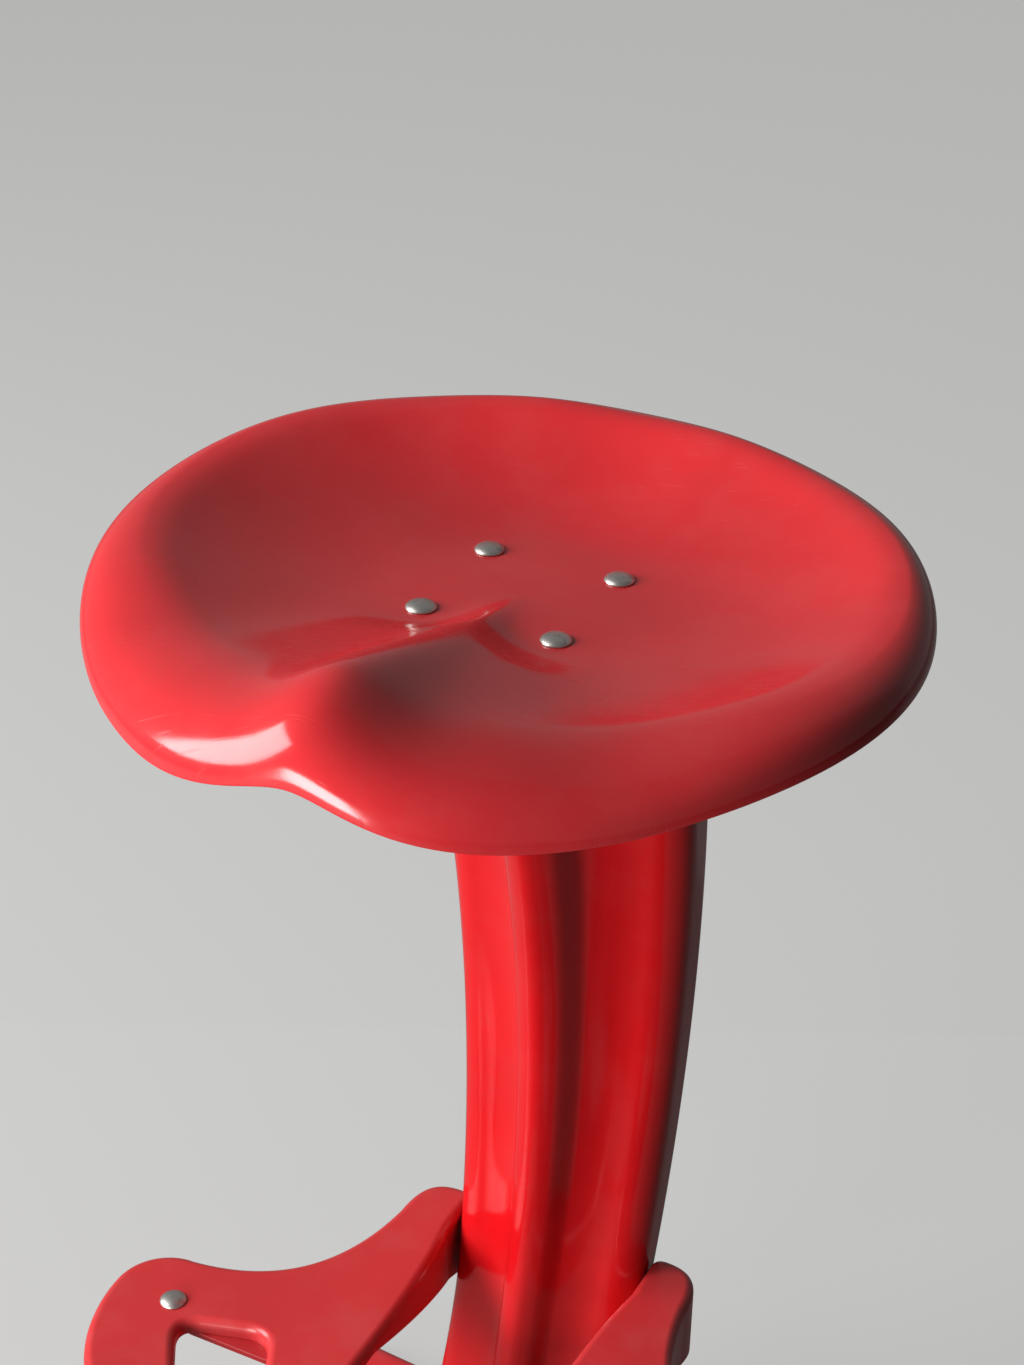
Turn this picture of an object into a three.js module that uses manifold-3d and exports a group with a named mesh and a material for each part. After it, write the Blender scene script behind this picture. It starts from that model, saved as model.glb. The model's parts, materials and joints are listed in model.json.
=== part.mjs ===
// Tractor seat stool: a dished steel seat on a curved pressed stalk, with a yoke footrest and a lobed base.
// Millimetres, +Z up, the floor at z = 0. The front of the stool faces -Y, and it is symmetric about x = 0.

import * as THREE from 'three';
import { mergeVertices } from 'three/addons/utils/BufferGeometryUtils.js';
import Module from 'manifold-3d';

const wasm = await Module();
wasm.setup();

// Fits shared by all pieces
const fitGap = 0.3;
const cutOverrun = 3;

// Seat pan
const panHeight = 700;
const seatSetback = 33.9;
const seatWidth = 441;
const rimHeight = 47;
const panThickness = 2.5;
const edgeFall = 2;
const bowlFlatReach = 58.5;
const pommelHeight = 38.7;
const pommelWidth = 85;
const pommelTipWidth = 32;
const pommelStart = 2;
const boltFlatReach = 14;
const boltFlatBlend = 14;

// Carriage bolts, washers and nuts: one size on the whole stool
const boltDiameter = 6;
const headDiameter = 16.5;
const headHeight = 3.6;
const neckSide = 6.4;
const washerDiameter = 12;
const washerThickness = 1.6;
const nutAcrossFlats = 10;
const nutHeight = 5;
const threadPastNut = 2;
const hexHeadHeight = 4;
const boltHoleGap = 0.4;

// Seat bolts and the bracket that is welded to the top of the stalk
const seatBoltSpacing = 77;
const bracketThickness = 5;
const bracketWidth = 180;
const bracketFront = 54;
const bracketBack = 54;
const bracketCorner = 16;
const gussetThickness = 5;
const gussetSpacing = 118;
const gussetDrop = 46;
const gussetReach = 44;
const gussetToe = 8;

// Stalk: a pressed channel whose front face follows an arc that bulges to the back. Its top and its foot
// are set back from the middle of the seat's bolts.
const stalkArcRadius = 860;
const stalkTopSetback = 8.45;
const stalkFootSetback = 0.58;
const stalkTopWidth = 173;
const stalkWaistWidth = 124;
const stalkWaistHeight = 165;
const stalkFootWidth = 132;
const stalkDepth = 32;
const stalkThickness = 3;
const stalkCorner = 16;
const grooveDepth = 25;
const grooveTopWidth = 92;
const grooveWaistWidth = 38;

// Footrest: a yoke pressed from one sheet, with a square window in each wing
const footrestHeight = 210;
const footrestThickness = 2.5;
const footrestRoll = 6;
const armGap = 112;
const armWidth = 46;
const wingWidth = 454;
const wingBack = 58;
const wingFront = 197;
const wingStrip = 48;
const wingCorner = 35;
const gapCorner = 24;
const windowCorner = 16;
const earPastBolt = 12.8;
const earWidth = 36;
const earCorner = 9;
const skirtAtStalk = 47;
const lipDepth = 10;
const levelSkirtStart = 68;
const deepSkirtSetback = 44.7;
const wingBoltInset = 44;
const wingBoltAhead = 96;

// Tie bar under the wings
const tieWidth = 16;
const tieThickness = 4;
const tiePad = 10;
const tieJoggle = 6;

// Ear bolts, two one above the other on each side
const earBoltBehindFront = 19.8;
const earBoltDrop = 15;
const earBoltPitch = 19;

// Base: a pressed shell with four lobes and a raised seat for the stalk's foot plate
const baseLobeSpacing = 336;
const baseLobeRadius = 34;
const baseBack = 98;
const baseFront = 190;
const baseWaistIn = 46;
const baseFrontIn = 44;
const baseBackIn = 16;
const baseTopHeight = 26;
const baseClearance = 6;
const baseThickness = 3;
const baseRoll = 10;
const bossHeight = 16;
const bossWidth = 172;
const bossFront = 66;
const bossBack = 74;
const bossSlope = 16;
const lobeLeanDegrees = 20;
const bossCorner = 26;

// Foot plate and its bolts
const footPlateThickness = 6;
const footPlateWidth = 138;
const footPlateFront = 49;
const footPlateBack = 57;
const footPlateCorner = 12;
const footBoltSpacing = 112;
const footBoltFront = 38;
const footBoltBack = 46;

// Glides that grip the lower edge of each lobe
const glideHeight = 15;
const glideOuterWall = 3;
const glideInnerWall = 6;
const glideSweepDegrees = 96;
const glideSlotPastDegrees = 10;
const glideSlotGap = 0.8;

// Numbers of facets
const rimStations = 60;
const rollSteps = 4;
const edgeRollSteps = 2;
const headSteps = 4;
const hexagonSides = 6;
const stalkStations = 17;
const roundSteps = 12;
const cornerSteps = 4;

// Finishes
const redPaint = { color: 0xb3171c, roughness: 0.32, metalness: 0.0 };
const innerPaint = { color: 0xa3151a, roughness: 0.45, metalness: 0.0 };
const satinSteel = { color: 0x9b9690, roughness: 0.38, metalness: 1.0 };
const blackRubber = { color: 0x1b1b1c, roughness: 0.8, metalness: 0.0 };

// Places that several pieces share
const seatCentreY = seatSetback;
const ahead = (distance) => seatCentreY - distance;
const bracketTop = panHeight - panThickness - fitGap;
const stalkTop = bracketTop - bracketThickness - fitGap;
const bossTop = baseTopHeight + bossHeight;
const footPlateTop = bossTop + fitGap + footPlateThickness;
const stalkBottom = footPlateTop + fitGap;
// The middle of the stalk's arc lies ahead of the stalk, on the line through the middle of its chord
const stalkChord = new THREE.Vector2(stalkTopSetback - stalkFootSetback, stalkTop - stalkBottom);
const arcAhead = Math.sqrt(stalkArcRadius ** 2 - (stalkChord.length() / 2) ** 2);
const arcHeight = (stalkTop + stalkBottom) / 2 + arcAhead * stalkChord.x / stalkChord.length();
const arcSetback = (stalkTopSetback + stalkFootSetback) / 2 - arcAhead * stalkChord.y / stalkChord.length();
const bodies = new THREE.Group();

// Solid modelling helpers

function weld(geometry) {
  const bare = geometry.clone();
  bare.deleteAttribute('normal');
  bare.deleteAttribute('uv');
  return mergeVertices(bare);
}

function toSolid(geometry) {
  const welded = weld(geometry);
  return new wasm.Manifold(new wasm.Mesh({
    numProp: 3,
    vertProperties: new Float32Array(welded.attributes.position.array),
    triVerts: new Uint32Array(welded.index.array),
  }));
}

function toGeometry(solid) {
  const mesh = solid.getMesh();
  const geometry = new THREE.BufferGeometry();
  geometry.setAttribute('position', new THREE.BufferAttribute(mesh.vertProperties, 3));
  geometry.setIndex(new THREE.BufferAttribute(mesh.triVerts, 1));
  return geometry;
}

function cut(geometry, tools) {
  let solid = toSolid(geometry);
  for (const tool of tools) solid = solid.subtract(toSolid(tool));
  return toGeometry(solid);
}

function join(geometries) {
  let solid = toSolid(geometries[0]);
  for (const geometry of geometries.slice(1)) solid = solid.add(toSolid(geometry));
  return toGeometry(solid);
}

function keepInside(geometry, limit) {
  return toGeometry(toSolid(geometry).intersect(toSolid(limit)));
}

// Turns the faces round when the closed mesh has a negative volume.
function faceOutwards(geometry) {
  const corners = geometry.attributes.position;
  const index = geometry.index;
  const corner = [new THREE.Vector3(), new THREE.Vector3(), new THREE.Vector3()];
  let volume = 0;
  for (let i = 0; i < index.count; i += 3) {
    corner.forEach((point, k) => point.fromBufferAttribute(corners, index.getX(i + k)));
    volume += corner[0].dot(corner[1].clone().cross(corner[2]));
  }
  if (volume > 0) return geometry;
  for (let i = 0; i < index.count; i += 3) {
    const kept = index.getX(i);
    index.setX(i, index.getX(i + 1));
    index.setX(i + 1, kept);
  }
  return geometry;
}

// Triangles that fill a level ring, wound the way that the ring runs.
function levelCap(ring) {
  const flat = ring.map(({ x, y }) => new THREE.Vector2(x, y));
  const runsLeft = THREE.ShapeUtils.area(flat) > 0;
  return THREE.ShapeUtils.triangulateShape(flat, []).map(([a, b, c]) => {
    const turnsLeft = THREE.ShapeUtils.area([flat[a], flat[b], flat[c]]) > 0;
    return turnsLeft === runsLeft ? [a, b, c] : [a, c, b];
  });
}

// Joins rings of equally many points into one skin. A ring of one point closes the skin as a pole, and
// a pipe of level rings is closed with flat caps.
function skinRings(rings, capped = false) {
  const positions = [];
  const starts = [];
  const faces = [];
  for (const ring of rings) {
    starts.push(positions.length / 3);
    for (const point of ring) positions.push(point.x, point.y, point.z);
  }
  for (let r = 0; r + 1 < rings.length; r += 1) {
    const near = rings[r].length;
    const far = rings[r + 1].length;
    const count = Math.max(near, far);
    for (let i = 0; i < count; i += 1) {
      const j = (i + 1) % count;
      const a = starts[r] + (near > 1 ? i : 0);
      const b = starts[r] + (near > 1 ? j : 0);
      const c = starts[r + 1] + (far > 1 ? j : 0);
      const d = starts[r + 1] + (far > 1 ? i : 0);
      if (near > 1) faces.push(a, b, c);
      if (far > 1) faces.push(a, c, d);
    }
  }
  if (capped) {
    const last = rings.length - 1;
    for (const [a, b, c] of levelCap(rings[0])) faces.push(a, c, b);
    const end = starts[last];
    for (const [a, b, c] of levelCap(rings[last])) faces.push(end + a, end + b, end + c);
  }
  const geometry = new THREE.BufferGeometry();
  geometry.setAttribute('position', new THREE.Float32BufferAttribute(positions, 3));
  geometry.setIndex(faces);
  return faceOutwards(geometry);
}

function block(width, depth, height, x, y, z) {
  const geometry = new THREE.BoxGeometry(width, depth, height);
  geometry.translate(x, y, z);
  return geometry;
}

// An upright prism of a plan outline, from one height to another.
function prism(shape, bottom, top, steps = cornerSteps) {
  const geometry = new THREE.ExtrudeGeometry(shape, {
    depth: top - bottom, bevelEnabled: false, curveSegments: steps,
  });
  geometry.translate(0, 0, bottom);
  return geometry;
}

// A prism whose top edge is rolled over to a radius, or sloped by one step. Its lower end is cut level.
function rolledPrism(shape, bottom, top, radius, steps) {
  const geometry = new THREE.ExtrudeGeometry(shape, {
    depth: top - bottom - radius, bevelEnabled: true, bevelThickness: radius, bevelSize: radius,
    bevelOffset: -radius, bevelSegments: steps, curveSegments: cornerSteps,
  });
  geometry.translate(0, 0, bottom);
  const reach = seatWidth + wingWidth;
  const above = block(reach, reach, reach, 0, 0, bottom + reach / 2);
  return keepInside(geometry, above);
}

// The space inside such a prism when it is pressed from sheet.
function rolledHollow(shape, bottom, top, radius, thickness, steps) {
  const geometry = new THREE.ExtrudeGeometry(shape, {
    depth: top - bottom - radius, bevelEnabled: true, bevelThickness: radius - thickness,
    bevelSize: radius - thickness, bevelOffset: -radius, bevelSegments: steps, curveSegments: cornerSteps,
  });
  geometry.translate(0, 0, bottom);
  return geometry;
}

// Turns an outline of (Y, Z) into a bar that runs from side to side, from one X to another.
function sideProfile(shape, left, right) {
  const geometry = new THREE.ExtrudeGeometry(shape, { depth: right - left, bevelEnabled: false });
  geometry.applyMatrix4(new THREE.Matrix4().makeBasis(
    new THREE.Vector3(0, 1, 0), new THREE.Vector3(0, 0, 1), new THREE.Vector3(1, 0, 0)));
  geometry.translate(left, 0, 0);
  return geometry;
}

// The right half of an outline that starts and ends beside the middle, joined to its mirror image.
function mirroredShape(rightHalf) {
  const right = rightHalf.getPoints(cornerSteps);
  const left = right.map(({ x, y }) => new THREE.Vector2(-x, y)).reverse();
  return new THREE.Shape([...right, ...left]);
}

// A polygon whose corners are rounded over the same distance along both sides.
function roundedPolygon(corners, round) {
  const shape = new THREE.Shape();
  corners.forEach((corner, i) => {
    const before = corners[(i + corners.length - 1) % corners.length];
    const after = corners[(i + 1) % corners.length];
    const start = before.clone().sub(corner).setLength(round).add(corner);
    const end = after.clone().sub(corner).setLength(round).add(corner);
    if (i === 0) shape.moveTo(start.x, start.y);
    else shape.lineTo(start.x, start.y);
    shape.quadraticCurveTo(corner.x, corner.y, end.x, end.y);
  });
  return shape;
}

function roundedRectangle(left, right, low, high, radius) {
  const shape = new THREE.Shape();
  shape.moveTo(left + radius, low);
  shape.lineTo(right - radius, low);
  shape.absarc(right - radius, low + radius, radius, -Math.PI / 2, 0);
  shape.lineTo(right, high - radius);
  shape.absarc(right - radius, high - radius, radius, 0, Math.PI / 2);
  shape.lineTo(left + radius, high);
  shape.absarc(left + radius, high - radius, radius, Math.PI / 2, Math.PI);
  shape.lineTo(left, low + radius);
  shape.absarc(left + radius, low + radius, radius, Math.PI, 1.5 * Math.PI);
  return shape;
}

function drill(radius, bottom, top, x, y) {
  const geometry = new THREE.CylinderGeometry(radius, radius, top - bottom, roundSteps);
  geometry.rotateX(Math.PI / 2);
  geometry.translate(x, y, (top + bottom) / 2);
  return geometry;
}

// A bolt hole that runs from side to side, along X.
function crossDrill(length, x, y, z) {
  const radius = boltDiameter / 2 + boltHoleGap;
  const geometry = new THREE.CylinderGeometry(radius, radius, length, roundSteps);
  geometry.rotateZ(Math.PI / 2);
  geometry.translate(x, y, z);
  return geometry;
}

function addPiece(name, geometry, finish) {
  const mesh = new THREE.Mesh(geometry, new THREE.MeshStandardMaterial(finish));
  mesh.name = name;
  bodies.add(mesh);
  return mesh;
}

// Fasteners stand at the origin with the underside of the head or the lower face at z = 0

function carriageBolt(clampedThickness, neckHeight) {
  const shank = boltDiameter / 2;
  const length = clampedThickness + washerThickness + nutHeight + threadPastNut + 3 * fitGap;
  const profile = [new THREE.Vector2(0, -length), new THREE.Vector2(shank, -length),
    new THREE.Vector2(shank, 0), new THREE.Vector2(headDiameter / 2, 0)];
  for (let i = 1; i <= headSteps; i += 1) {
    const turn = (i / headSteps) * Math.PI / 2;
    profile.push(new THREE.Vector2((headDiameter / 2) * Math.cos(turn), headHeight * Math.sin(turn)));
  }
  profile[profile.length - 1].x = 0;
  const turned = new THREE.LatheGeometry(profile, roundSteps);
  turned.rotateX(Math.PI / 2);
  const neckTop = headHeight / 4;
  const neck = block(neckSide, neckSide, neckHeight + neckTop, 0, 0, (neckTop - neckHeight) / 2);
  return join([turned, neck]);
}

function hexOutline() {
  const outline = new THREE.Shape();
  const reach = nutAcrossFlats / Math.sqrt(3);
  for (let i = 0; i < hexagonSides; i += 1) {
    const turn = (i / hexagonSides) * 2 * Math.PI;
    const x = reach * Math.cos(turn);
    const y = reach * Math.sin(turn);
    if (i === 0) outline.moveTo(x, y);
    else outline.lineTo(x, y);
  }
  return outline;
}

function hexBolt(clampedThickness) {
  const length = clampedThickness + washerThickness + nutHeight + threadPastNut + 3 * fitGap;
  const shank = drill(boltDiameter / 2, -length, hexHeadHeight / 2, 0, 0);
  return join([prism(hexOutline(), 0, hexHeadHeight), shank]);
}

function plainWasher() {
  const bore = boltDiameter / 2 + fitGap;
  const outer = washerDiameter / 2;
  const profile = [[bore, 0], [outer, 0], [outer, washerThickness], [bore, washerThickness], [bore, 0]]
    .map(([radius, height]) => new THREE.Vector2(radius, height));
  const geometry = new THREE.LatheGeometry(profile, roundSteps);
  geometry.rotateX(Math.PI / 2);
  return geometry;
}

function hexNut() {
  const outline = hexOutline();
  const bore = new THREE.Path();
  bore.absarc(0, 0, boltDiameter / 2 + fitGap, 0, 2 * Math.PI, true);
  outline.holes.push(bore);
  return prism(outline, 0, nutHeight, roundSteps / 2);
}

// Puts a bolt, a washer and a nut on one axis. The bolt points from the head along its own -Z.
function fasten(prefix, bolt, place, turn, clampedThickness) {
  const set = new THREE.Group();
  set.position.copy(place);
  set.rotation.copy(turn);
  const washerFace = -clampedThickness - 2 * fitGap - washerThickness;
  const pieces = [
    [`${prefix}_bolt`, bolt, 0],
    [`${prefix}_washer`, plainWasher(), washerFace],
    [`${prefix}_nut`, hexNut(), washerFace - fitGap - nutHeight],
  ];
  for (const [name, geometry, height] of pieces) {
    const mesh = new THREE.Mesh(geometry, new THREE.MeshStandardMaterial(satinSteel));
    mesh.name = name;
    mesh.position.z = height;
    set.add(mesh);
  }
  bodies.add(set);
}

// Seat pan. Each row holds an angle from the front, then shares of the half width for the edge's reach
// and the roll's reach, and shares of the rim height for the crest and the edge.
const rimShares = [
  [0, 1.068, 0.237, 0.167, 0.166], [12, 1.080, 0.241, 0.107, -0.083], [25, 1.061, 0.233, 0.245, -0.214],
  [42, 1.040, 0.212, 0.361, -0.142], [62, 1.029, 0.149, 0.517, 0.032], [85, 1.010, 0.092, 0.625, 0.222],
  [110, 0.933, 0.061, 0.834, 0.456], [135, 0.835, 0.069, 0.917, 0.539], [158, 0.752, 0.057, 0.995, 0.620],
  [180, 0.759, 0.085, 0.964, 0.581],
];
const bowlRingShares = [0.14, 0.25, 0.37, 0.48, 0.6, 0.73, 0.84, 0.93, 1];
const steepestShare = 0.89;
const pommelSharpShare = 0.19;
const pommelSharpness = 3.3;
const pommelGrowth = 0.78;
const halfTurnDegrees = 180;
const slopeStepDegrees = 0.5;
const pommelFront = (seatWidth / 2) * (rimShares[0][1] - rimShares[0][2] / 2);
const rimTable = new THREE.CubicInterpolant(rimShares.map(([degrees]) => degrees),
  rimShares.flatMap(([, ...shares]) => shares), rimShares[0].length - 1);
rimTable.settings = { endingStart: THREE.ZeroSlopeEnding, endingEnd: THREE.ZeroSlopeEnding };

// How high the pommel ridge stands at a plan position measured from the middle of the bolts. It dies out
// where the front bolts sit.
function pommelRise(x, forward) {
  const along = THREE.MathUtils.clamp((forward - pommelStart) / (pommelFront - pommelStart), 0, 1);
  const out = x / THREE.MathUtils.lerp(pommelTipWidth, pommelWidth, along);
  const sharp = pommelSharpShare * Math.exp(-((pommelSharpness * out) ** 2));
  const round = (1 - pommelSharpShare) * Math.exp(-(out ** 2));
  const fromBolt = Math.hypot(Math.abs(x) - seatBoltSpacing / 2, forward - seatBoltSpacing / 2);
  const besideBolt = THREE.MathUtils.smoothstep(fromBolt, boltFlatReach, boltFlatReach + boltFlatBlend);
  const growth = THREE.MathUtils.smoothstep(along, 0, 1) ** pommelGrowth;
  return pommelHeight * growth * (sharp + round) * besideBolt;
}

// The bowl is level under the bolts, steepens outwards, and turns level again at the crest of the rim.
function bowlRise(reach, crestReach) {
  const out = Math.max(0, (reach - bowlFlatReach) / (crestReach - bowlFlatReach));
  if (out < steepestShare) return out ** 2 / steepestShare;
  return 1 - (1 - out) ** 2 / (1 - steepestShare);
}

function rimAt(degrees) {
  const folded = THREE.MathUtils.euclideanModulo(degrees + halfTurnDegrees, 2 * halfTurnDegrees);
  const [edge, roll, crestHeight, low] = rimTable.evaluate(Math.abs(folded - halfTurnDegrees));
  const turn = THREE.MathUtils.degToRad(degrees);
  const reach = (edge - roll) * seatWidth / 2;
  const crest = new THREE.Vector3(reach * Math.sin(turn), -reach * Math.cos(turn), crestHeight * rimHeight);
  return { crest, reach, rollReach: roll * seatWidth / 2, low: low * rimHeight };
}

function seatPan() {
  const stations = [];
  for (let i = 0; i < rimStations; i += 1) {
    const degrees = 2 * halfTurnDegrees * i / rimStations;
    const run = rimAt(degrees + slopeStepDegrees).crest.sub(rimAt(degrees - slopeStepDegrees).crest);
    stations.push({ ...rimAt(degrees), outward: new THREE.Vector2(run.y, -run.x).normalize() });
  }
  const bowlRing = (share, lowered) => stations.map(({ crest, reach }) => {
    const x = crest.x * share;
    const y = crest.y * share;
    const z = crest.z * bowlRise(reach * share, reach) + pommelRise(x, -y) - lowered;
    return new THREE.Vector3(x, y, z);
  });
  const rollRing = (turn, inset, atEdge) => stations.map(({ crest, outward, rollReach, low }) => {
    const top = crest.z + pommelRise(crest.x, -crest.y);
    const reach = (rollReach - inset) * Math.sin(turn);
    const rolled = low + edgeFall + (top - low - edgeFall - inset) * Math.cos(turn);
    return new THREE.Vector3(crest.x + outward.x * reach, crest.y + outward.y * reach, atEdge ? low : rolled);
  });
  const rollTurns = Array.from({ length: rollSteps }, (_, i) => ((i + 1) / rollSteps) * Math.PI / 2);
  const skin = (inset) => [
    ...bowlRingShares.map((share) => bowlRing(share, inset)),
    ...rollTurns.map((turn) => rollRing(turn, inset, false)),
    rollRing(Math.PI / 2, inset, true),
  ];
  const rings = [[new THREE.Vector3(0, 0, 0)], ...skin(0), ...skin(panThickness).reverse(),
    [new THREE.Vector3(0, 0, -panThickness)]];
  const sheet = skinRings(rings);
  sheet.translate(0, seatCentreY, panHeight);
  const holes = seatBoltPlaces().map(([x, y]) => block(neckSide + 2 * boltHoleGap, neckSide + 2 * boltHoleGap,
    2 * cutOverrun + panThickness, x, y, panHeight - panThickness / 2));
  return cut(sheet, holes);
}

function seatBoltPlaces() {
  const half = seatBoltSpacing / 2;
  return [[-half, ahead(half)], [half, ahead(half)], [half, ahead(-half)], [-half, ahead(-half)]];
}

// Stalk: how its front face, width and groove run with height above the floor
function stalkFront(height) {
  const reach = Math.sqrt(stalkArcRadius ** 2 - (height - arcHeight) ** 2);
  return ahead(-arcSetback - reach);
}

// How far back a point of the channel lies when it is a given distance behind the front face.
function behindStalkFront(distance, height) {
  const tilt = Math.asin((height - arcHeight) / stalkArcRadius);
  return stalkFront(height) + distance / Math.cos(tilt);
}

function stalkHalfWidth(height) {
  if (height > stalkWaistHeight) {
    const up = (height - stalkWaistHeight) / (stalkTop - stalkWaistHeight);
    return THREE.MathUtils.lerp(stalkWaistWidth, stalkTopWidth, up) / 2;
  }
  const down = (stalkWaistHeight - height) / (stalkWaistHeight - stalkBottom);
  return THREE.MathUtils.lerp(stalkWaistWidth, stalkFootWidth, down ** 2) / 2;
}

function grooveHalfWidth(height) {
  const up = Math.max(0, (height - stalkWaistHeight) / (stalkTop - stalkWaistHeight));
  return THREE.MathUtils.lerp(grooveWaistWidth, grooveTopWidth, up ** 2) / 2;
}

// How much of the valley is rounded at its middle and at its ridge, as shares of its half width
const grooveRoundShares = [0.2, 0.38];

// The valley's wall, from its middle at 0 to its ridge at 1: straight, and rounded at both ends. Gives its
// depth and how steep it is, in valley depths and half widths.
function valleyWall(share) {
  const [low, high] = grooveRoundShares;
  const whole = 1 - (low + high) / 2;
  const steep = Math.min(share / low, 1, (1 - share) / high) / whole;
  if (share < low) {
    return [1 - share ** 2 / (2 * low * whole), steep];
  }
  if (share > 1 - high) {
    return [(1 - share) ** 2 / (2 * high * whole), steep];
  }
  return [1 - (share - low / 2) / whole, steep];
}

// One skin of the channel at a height, from the left rear edge round the front to the right rear edge.
// Each point holds x and how far it lies behind the front face.
function channelSkin(height, inset) {
  const half = stalkHalfWidth(height);
  const groove = grooveHalfWidth(height);
  const right = [];
  const [low, high] = grooveRoundShares;
  for (const share of [0, low / 2, low, 1 - high, 1 - high / 2]) {
    const [depth, steep] = valleyWall(share);
    const lean = Math.atan(grooveDepth * steep / groove);
    right.push([groove * share + inset * Math.sin(lean), grooveDepth * depth + inset * Math.cos(lean)]);
  }
  right.push([groove, inset]);
  for (let i = 0; i <= cornerSteps; i += 1) {
    const turn = (i / cornerSteps) * Math.PI / 2;
    right.push([half - stalkCorner + (stalkCorner - inset) * Math.sin(turn),
      stalkCorner - (stalkCorner - inset) * Math.cos(turn)]);
  }
  right.push([half - inset, stalkDepth]);
  const left = right.slice(1).reverse().map(([x, back]) => [-x, back]);
  return [...left, ...right];
}

function stalk() {
  const rings = [];
  for (let i = 0; i < stalkStations; i += 1) {
    const height = THREE.MathUtils.lerp(stalkBottom, stalkTop, i / (stalkStations - 1));
    const outline = [...channelSkin(height, 0), ...channelSkin(height, stalkThickness).reverse()];
    rings.push(outline.map(([x, back]) => new THREE.Vector3(x, behindStalkFront(back, height), height)));
  }
  const channel = skinRings(rings, true);
  const holes = earBoltPlaces().map(([side, y, z]) => crossDrill(2 * cutOverrun + stalkThickness,
    side * (stalkHalfWidth(z) - stalkThickness / 2), y, z));
  return cut(channel, holes);
}

// Bracket under the seat: a plate with two gussets that run down the flat strips of the stalk
function seatBracket() {
  const plateBottom = bracketTop - bracketThickness;
  const outline = roundedRectangle(-bracketWidth / 2, bracketWidth / 2, ahead(bracketFront),
    ahead(-bracketBack), bracketCorner);
  const plate = prism(outline, plateBottom, bracketTop);
  const gussets = [-1, 1].map((side) => {
    const lowest = plateBottom - gussetDrop;
    const web = new THREE.Shape();
    web.moveTo(stalkFront(plateBottom) - fitGap, plateBottom + bracketThickness / 2);
    web.lineTo(stalkFront(plateBottom) - fitGap, plateBottom);
    web.lineTo(stalkFront(lowest) - fitGap, lowest);
    web.lineTo(stalkFront(lowest) - fitGap - gussetToe, lowest);
    web.lineTo(ahead(gussetReach), plateBottom - gussetToe);
    web.lineTo(ahead(gussetReach), plateBottom + bracketThickness / 2);
    const left = side * gussetSpacing / 2 - gussetThickness / 2;
    return sideProfile(web, left, left + gussetThickness);
  });
  const holes = seatBoltPlaces().map(([x, y]) => drill(boltDiameter / 2 + boltHoleGap,
    plateBottom - cutOverrun, bracketTop + cutOverrun, x, y));
  return cut(join([plate, ...gussets]), holes);
}

// Footrest. Its plan is drawn for the right half and mirrored, in distances ahead of the seat bolts.
const armInner = armGap / 2;
const armOuter = armInner + armWidth;
const wingHalf = wingWidth / 2;
const wingBoltX = wingHalf - wingBoltInset;
const earInner = stalkHalfWidth(footrestHeight) + fitGap;
const earOuter = earInner + earWidth;
const gapFront = wingFront - wingStrip;
// Where the curve from the ear to the wing is pulled to, as shares of the arm's width and the wing's back
const neckPullShares = [0.125, 0.083];
const wingPullShares = [0.5, 0.86];
// How far the wing's side runs before it curves to the front, and where that curve ends, in corners
const wingSideShare = 2.4;
const wingFrontShare = 0.9;
// The window's corners, as shares from the arm's inner edge to the wing bolt and from the wing's back to
// its front
const windowShares = [[0.924, 0.358], [0.483, 0.232], [0.252, 0.655], [0.724, 0.655]];

function earBoltPlaces() {
  const places = [];
  for (const side of [-1, 1]) {
    for (const row of [0, 1]) {
      const height = footrestHeight - earBoltDrop - row * earBoltPitch;
      places.push([side, behindStalkFront(earBoltBehindFront, height), height]);
    }
  }
  return places;
}

function footrestOutline() {
  const earBackY = Math.max(...earBoltPlaces().map(([, y]) => y)) + earPastBolt;
  const earNeckY = earBackY - earWidth;
  const half = new THREE.Path();
  half.moveTo(armInner - gapCorner, ahead(gapFront));
  half.absarc(armInner - gapCorner, ahead(gapFront - gapCorner), gapCorner, -Math.PI / 2, 0);
  half.lineTo(armInner, ahead(wingBack));
  half.quadraticCurveTo(armInner, ahead(0), earInner, earNeckY);
  half.lineTo(earInner, earBackY - earCorner);
  half.quadraticCurveTo(earInner, earBackY, earInner + earCorner, earBackY);
  half.bezierCurveTo(earOuter - earCorner, earBackY, earOuter, earBackY - earCorner, earOuter, earNeckY);
  half.bezierCurveTo(earOuter + armWidth * neckPullShares[0], ahead(wingBack * neckPullShares[1]),
    armOuter + armWidth * wingPullShares[0], ahead(wingBack * wingPullShares[1]),
    wingHalf - wingCorner, ahead(wingBack));
  half.absarc(wingHalf - wingCorner, ahead(wingBack + wingCorner), wingCorner, Math.PI / 2, 0, true);
  half.bezierCurveTo(wingHalf, ahead(wingBack + wingCorner * wingSideShare), wingHalf - wingCorner,
    ahead(wingFront), armOuter + wingCorner * wingFrontShare, ahead(wingFront));
  return mirroredShape(half);
}

// The window of one wing. Both windows run round the same way, as holes of one shape must.
function windowOutline(side) {
  const corners = windowShares.map(([acrossShare, aheadShare]) => {
    const across = THREE.MathUtils.lerp(armInner, wingBoltX, acrossShare);
    return new THREE.Vector2(side * across, ahead(THREE.MathUtils.lerp(wingBack, wingFront, aheadShare)));
  });
  return roundedPolygon(side > 0 ? corners : corners.reverse(), windowCorner);
}

function wingBoltPlaces() {
  return [-1, 1].map((side) => [side * wingBoltX, ahead(wingBoltAhead)]);
}

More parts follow.
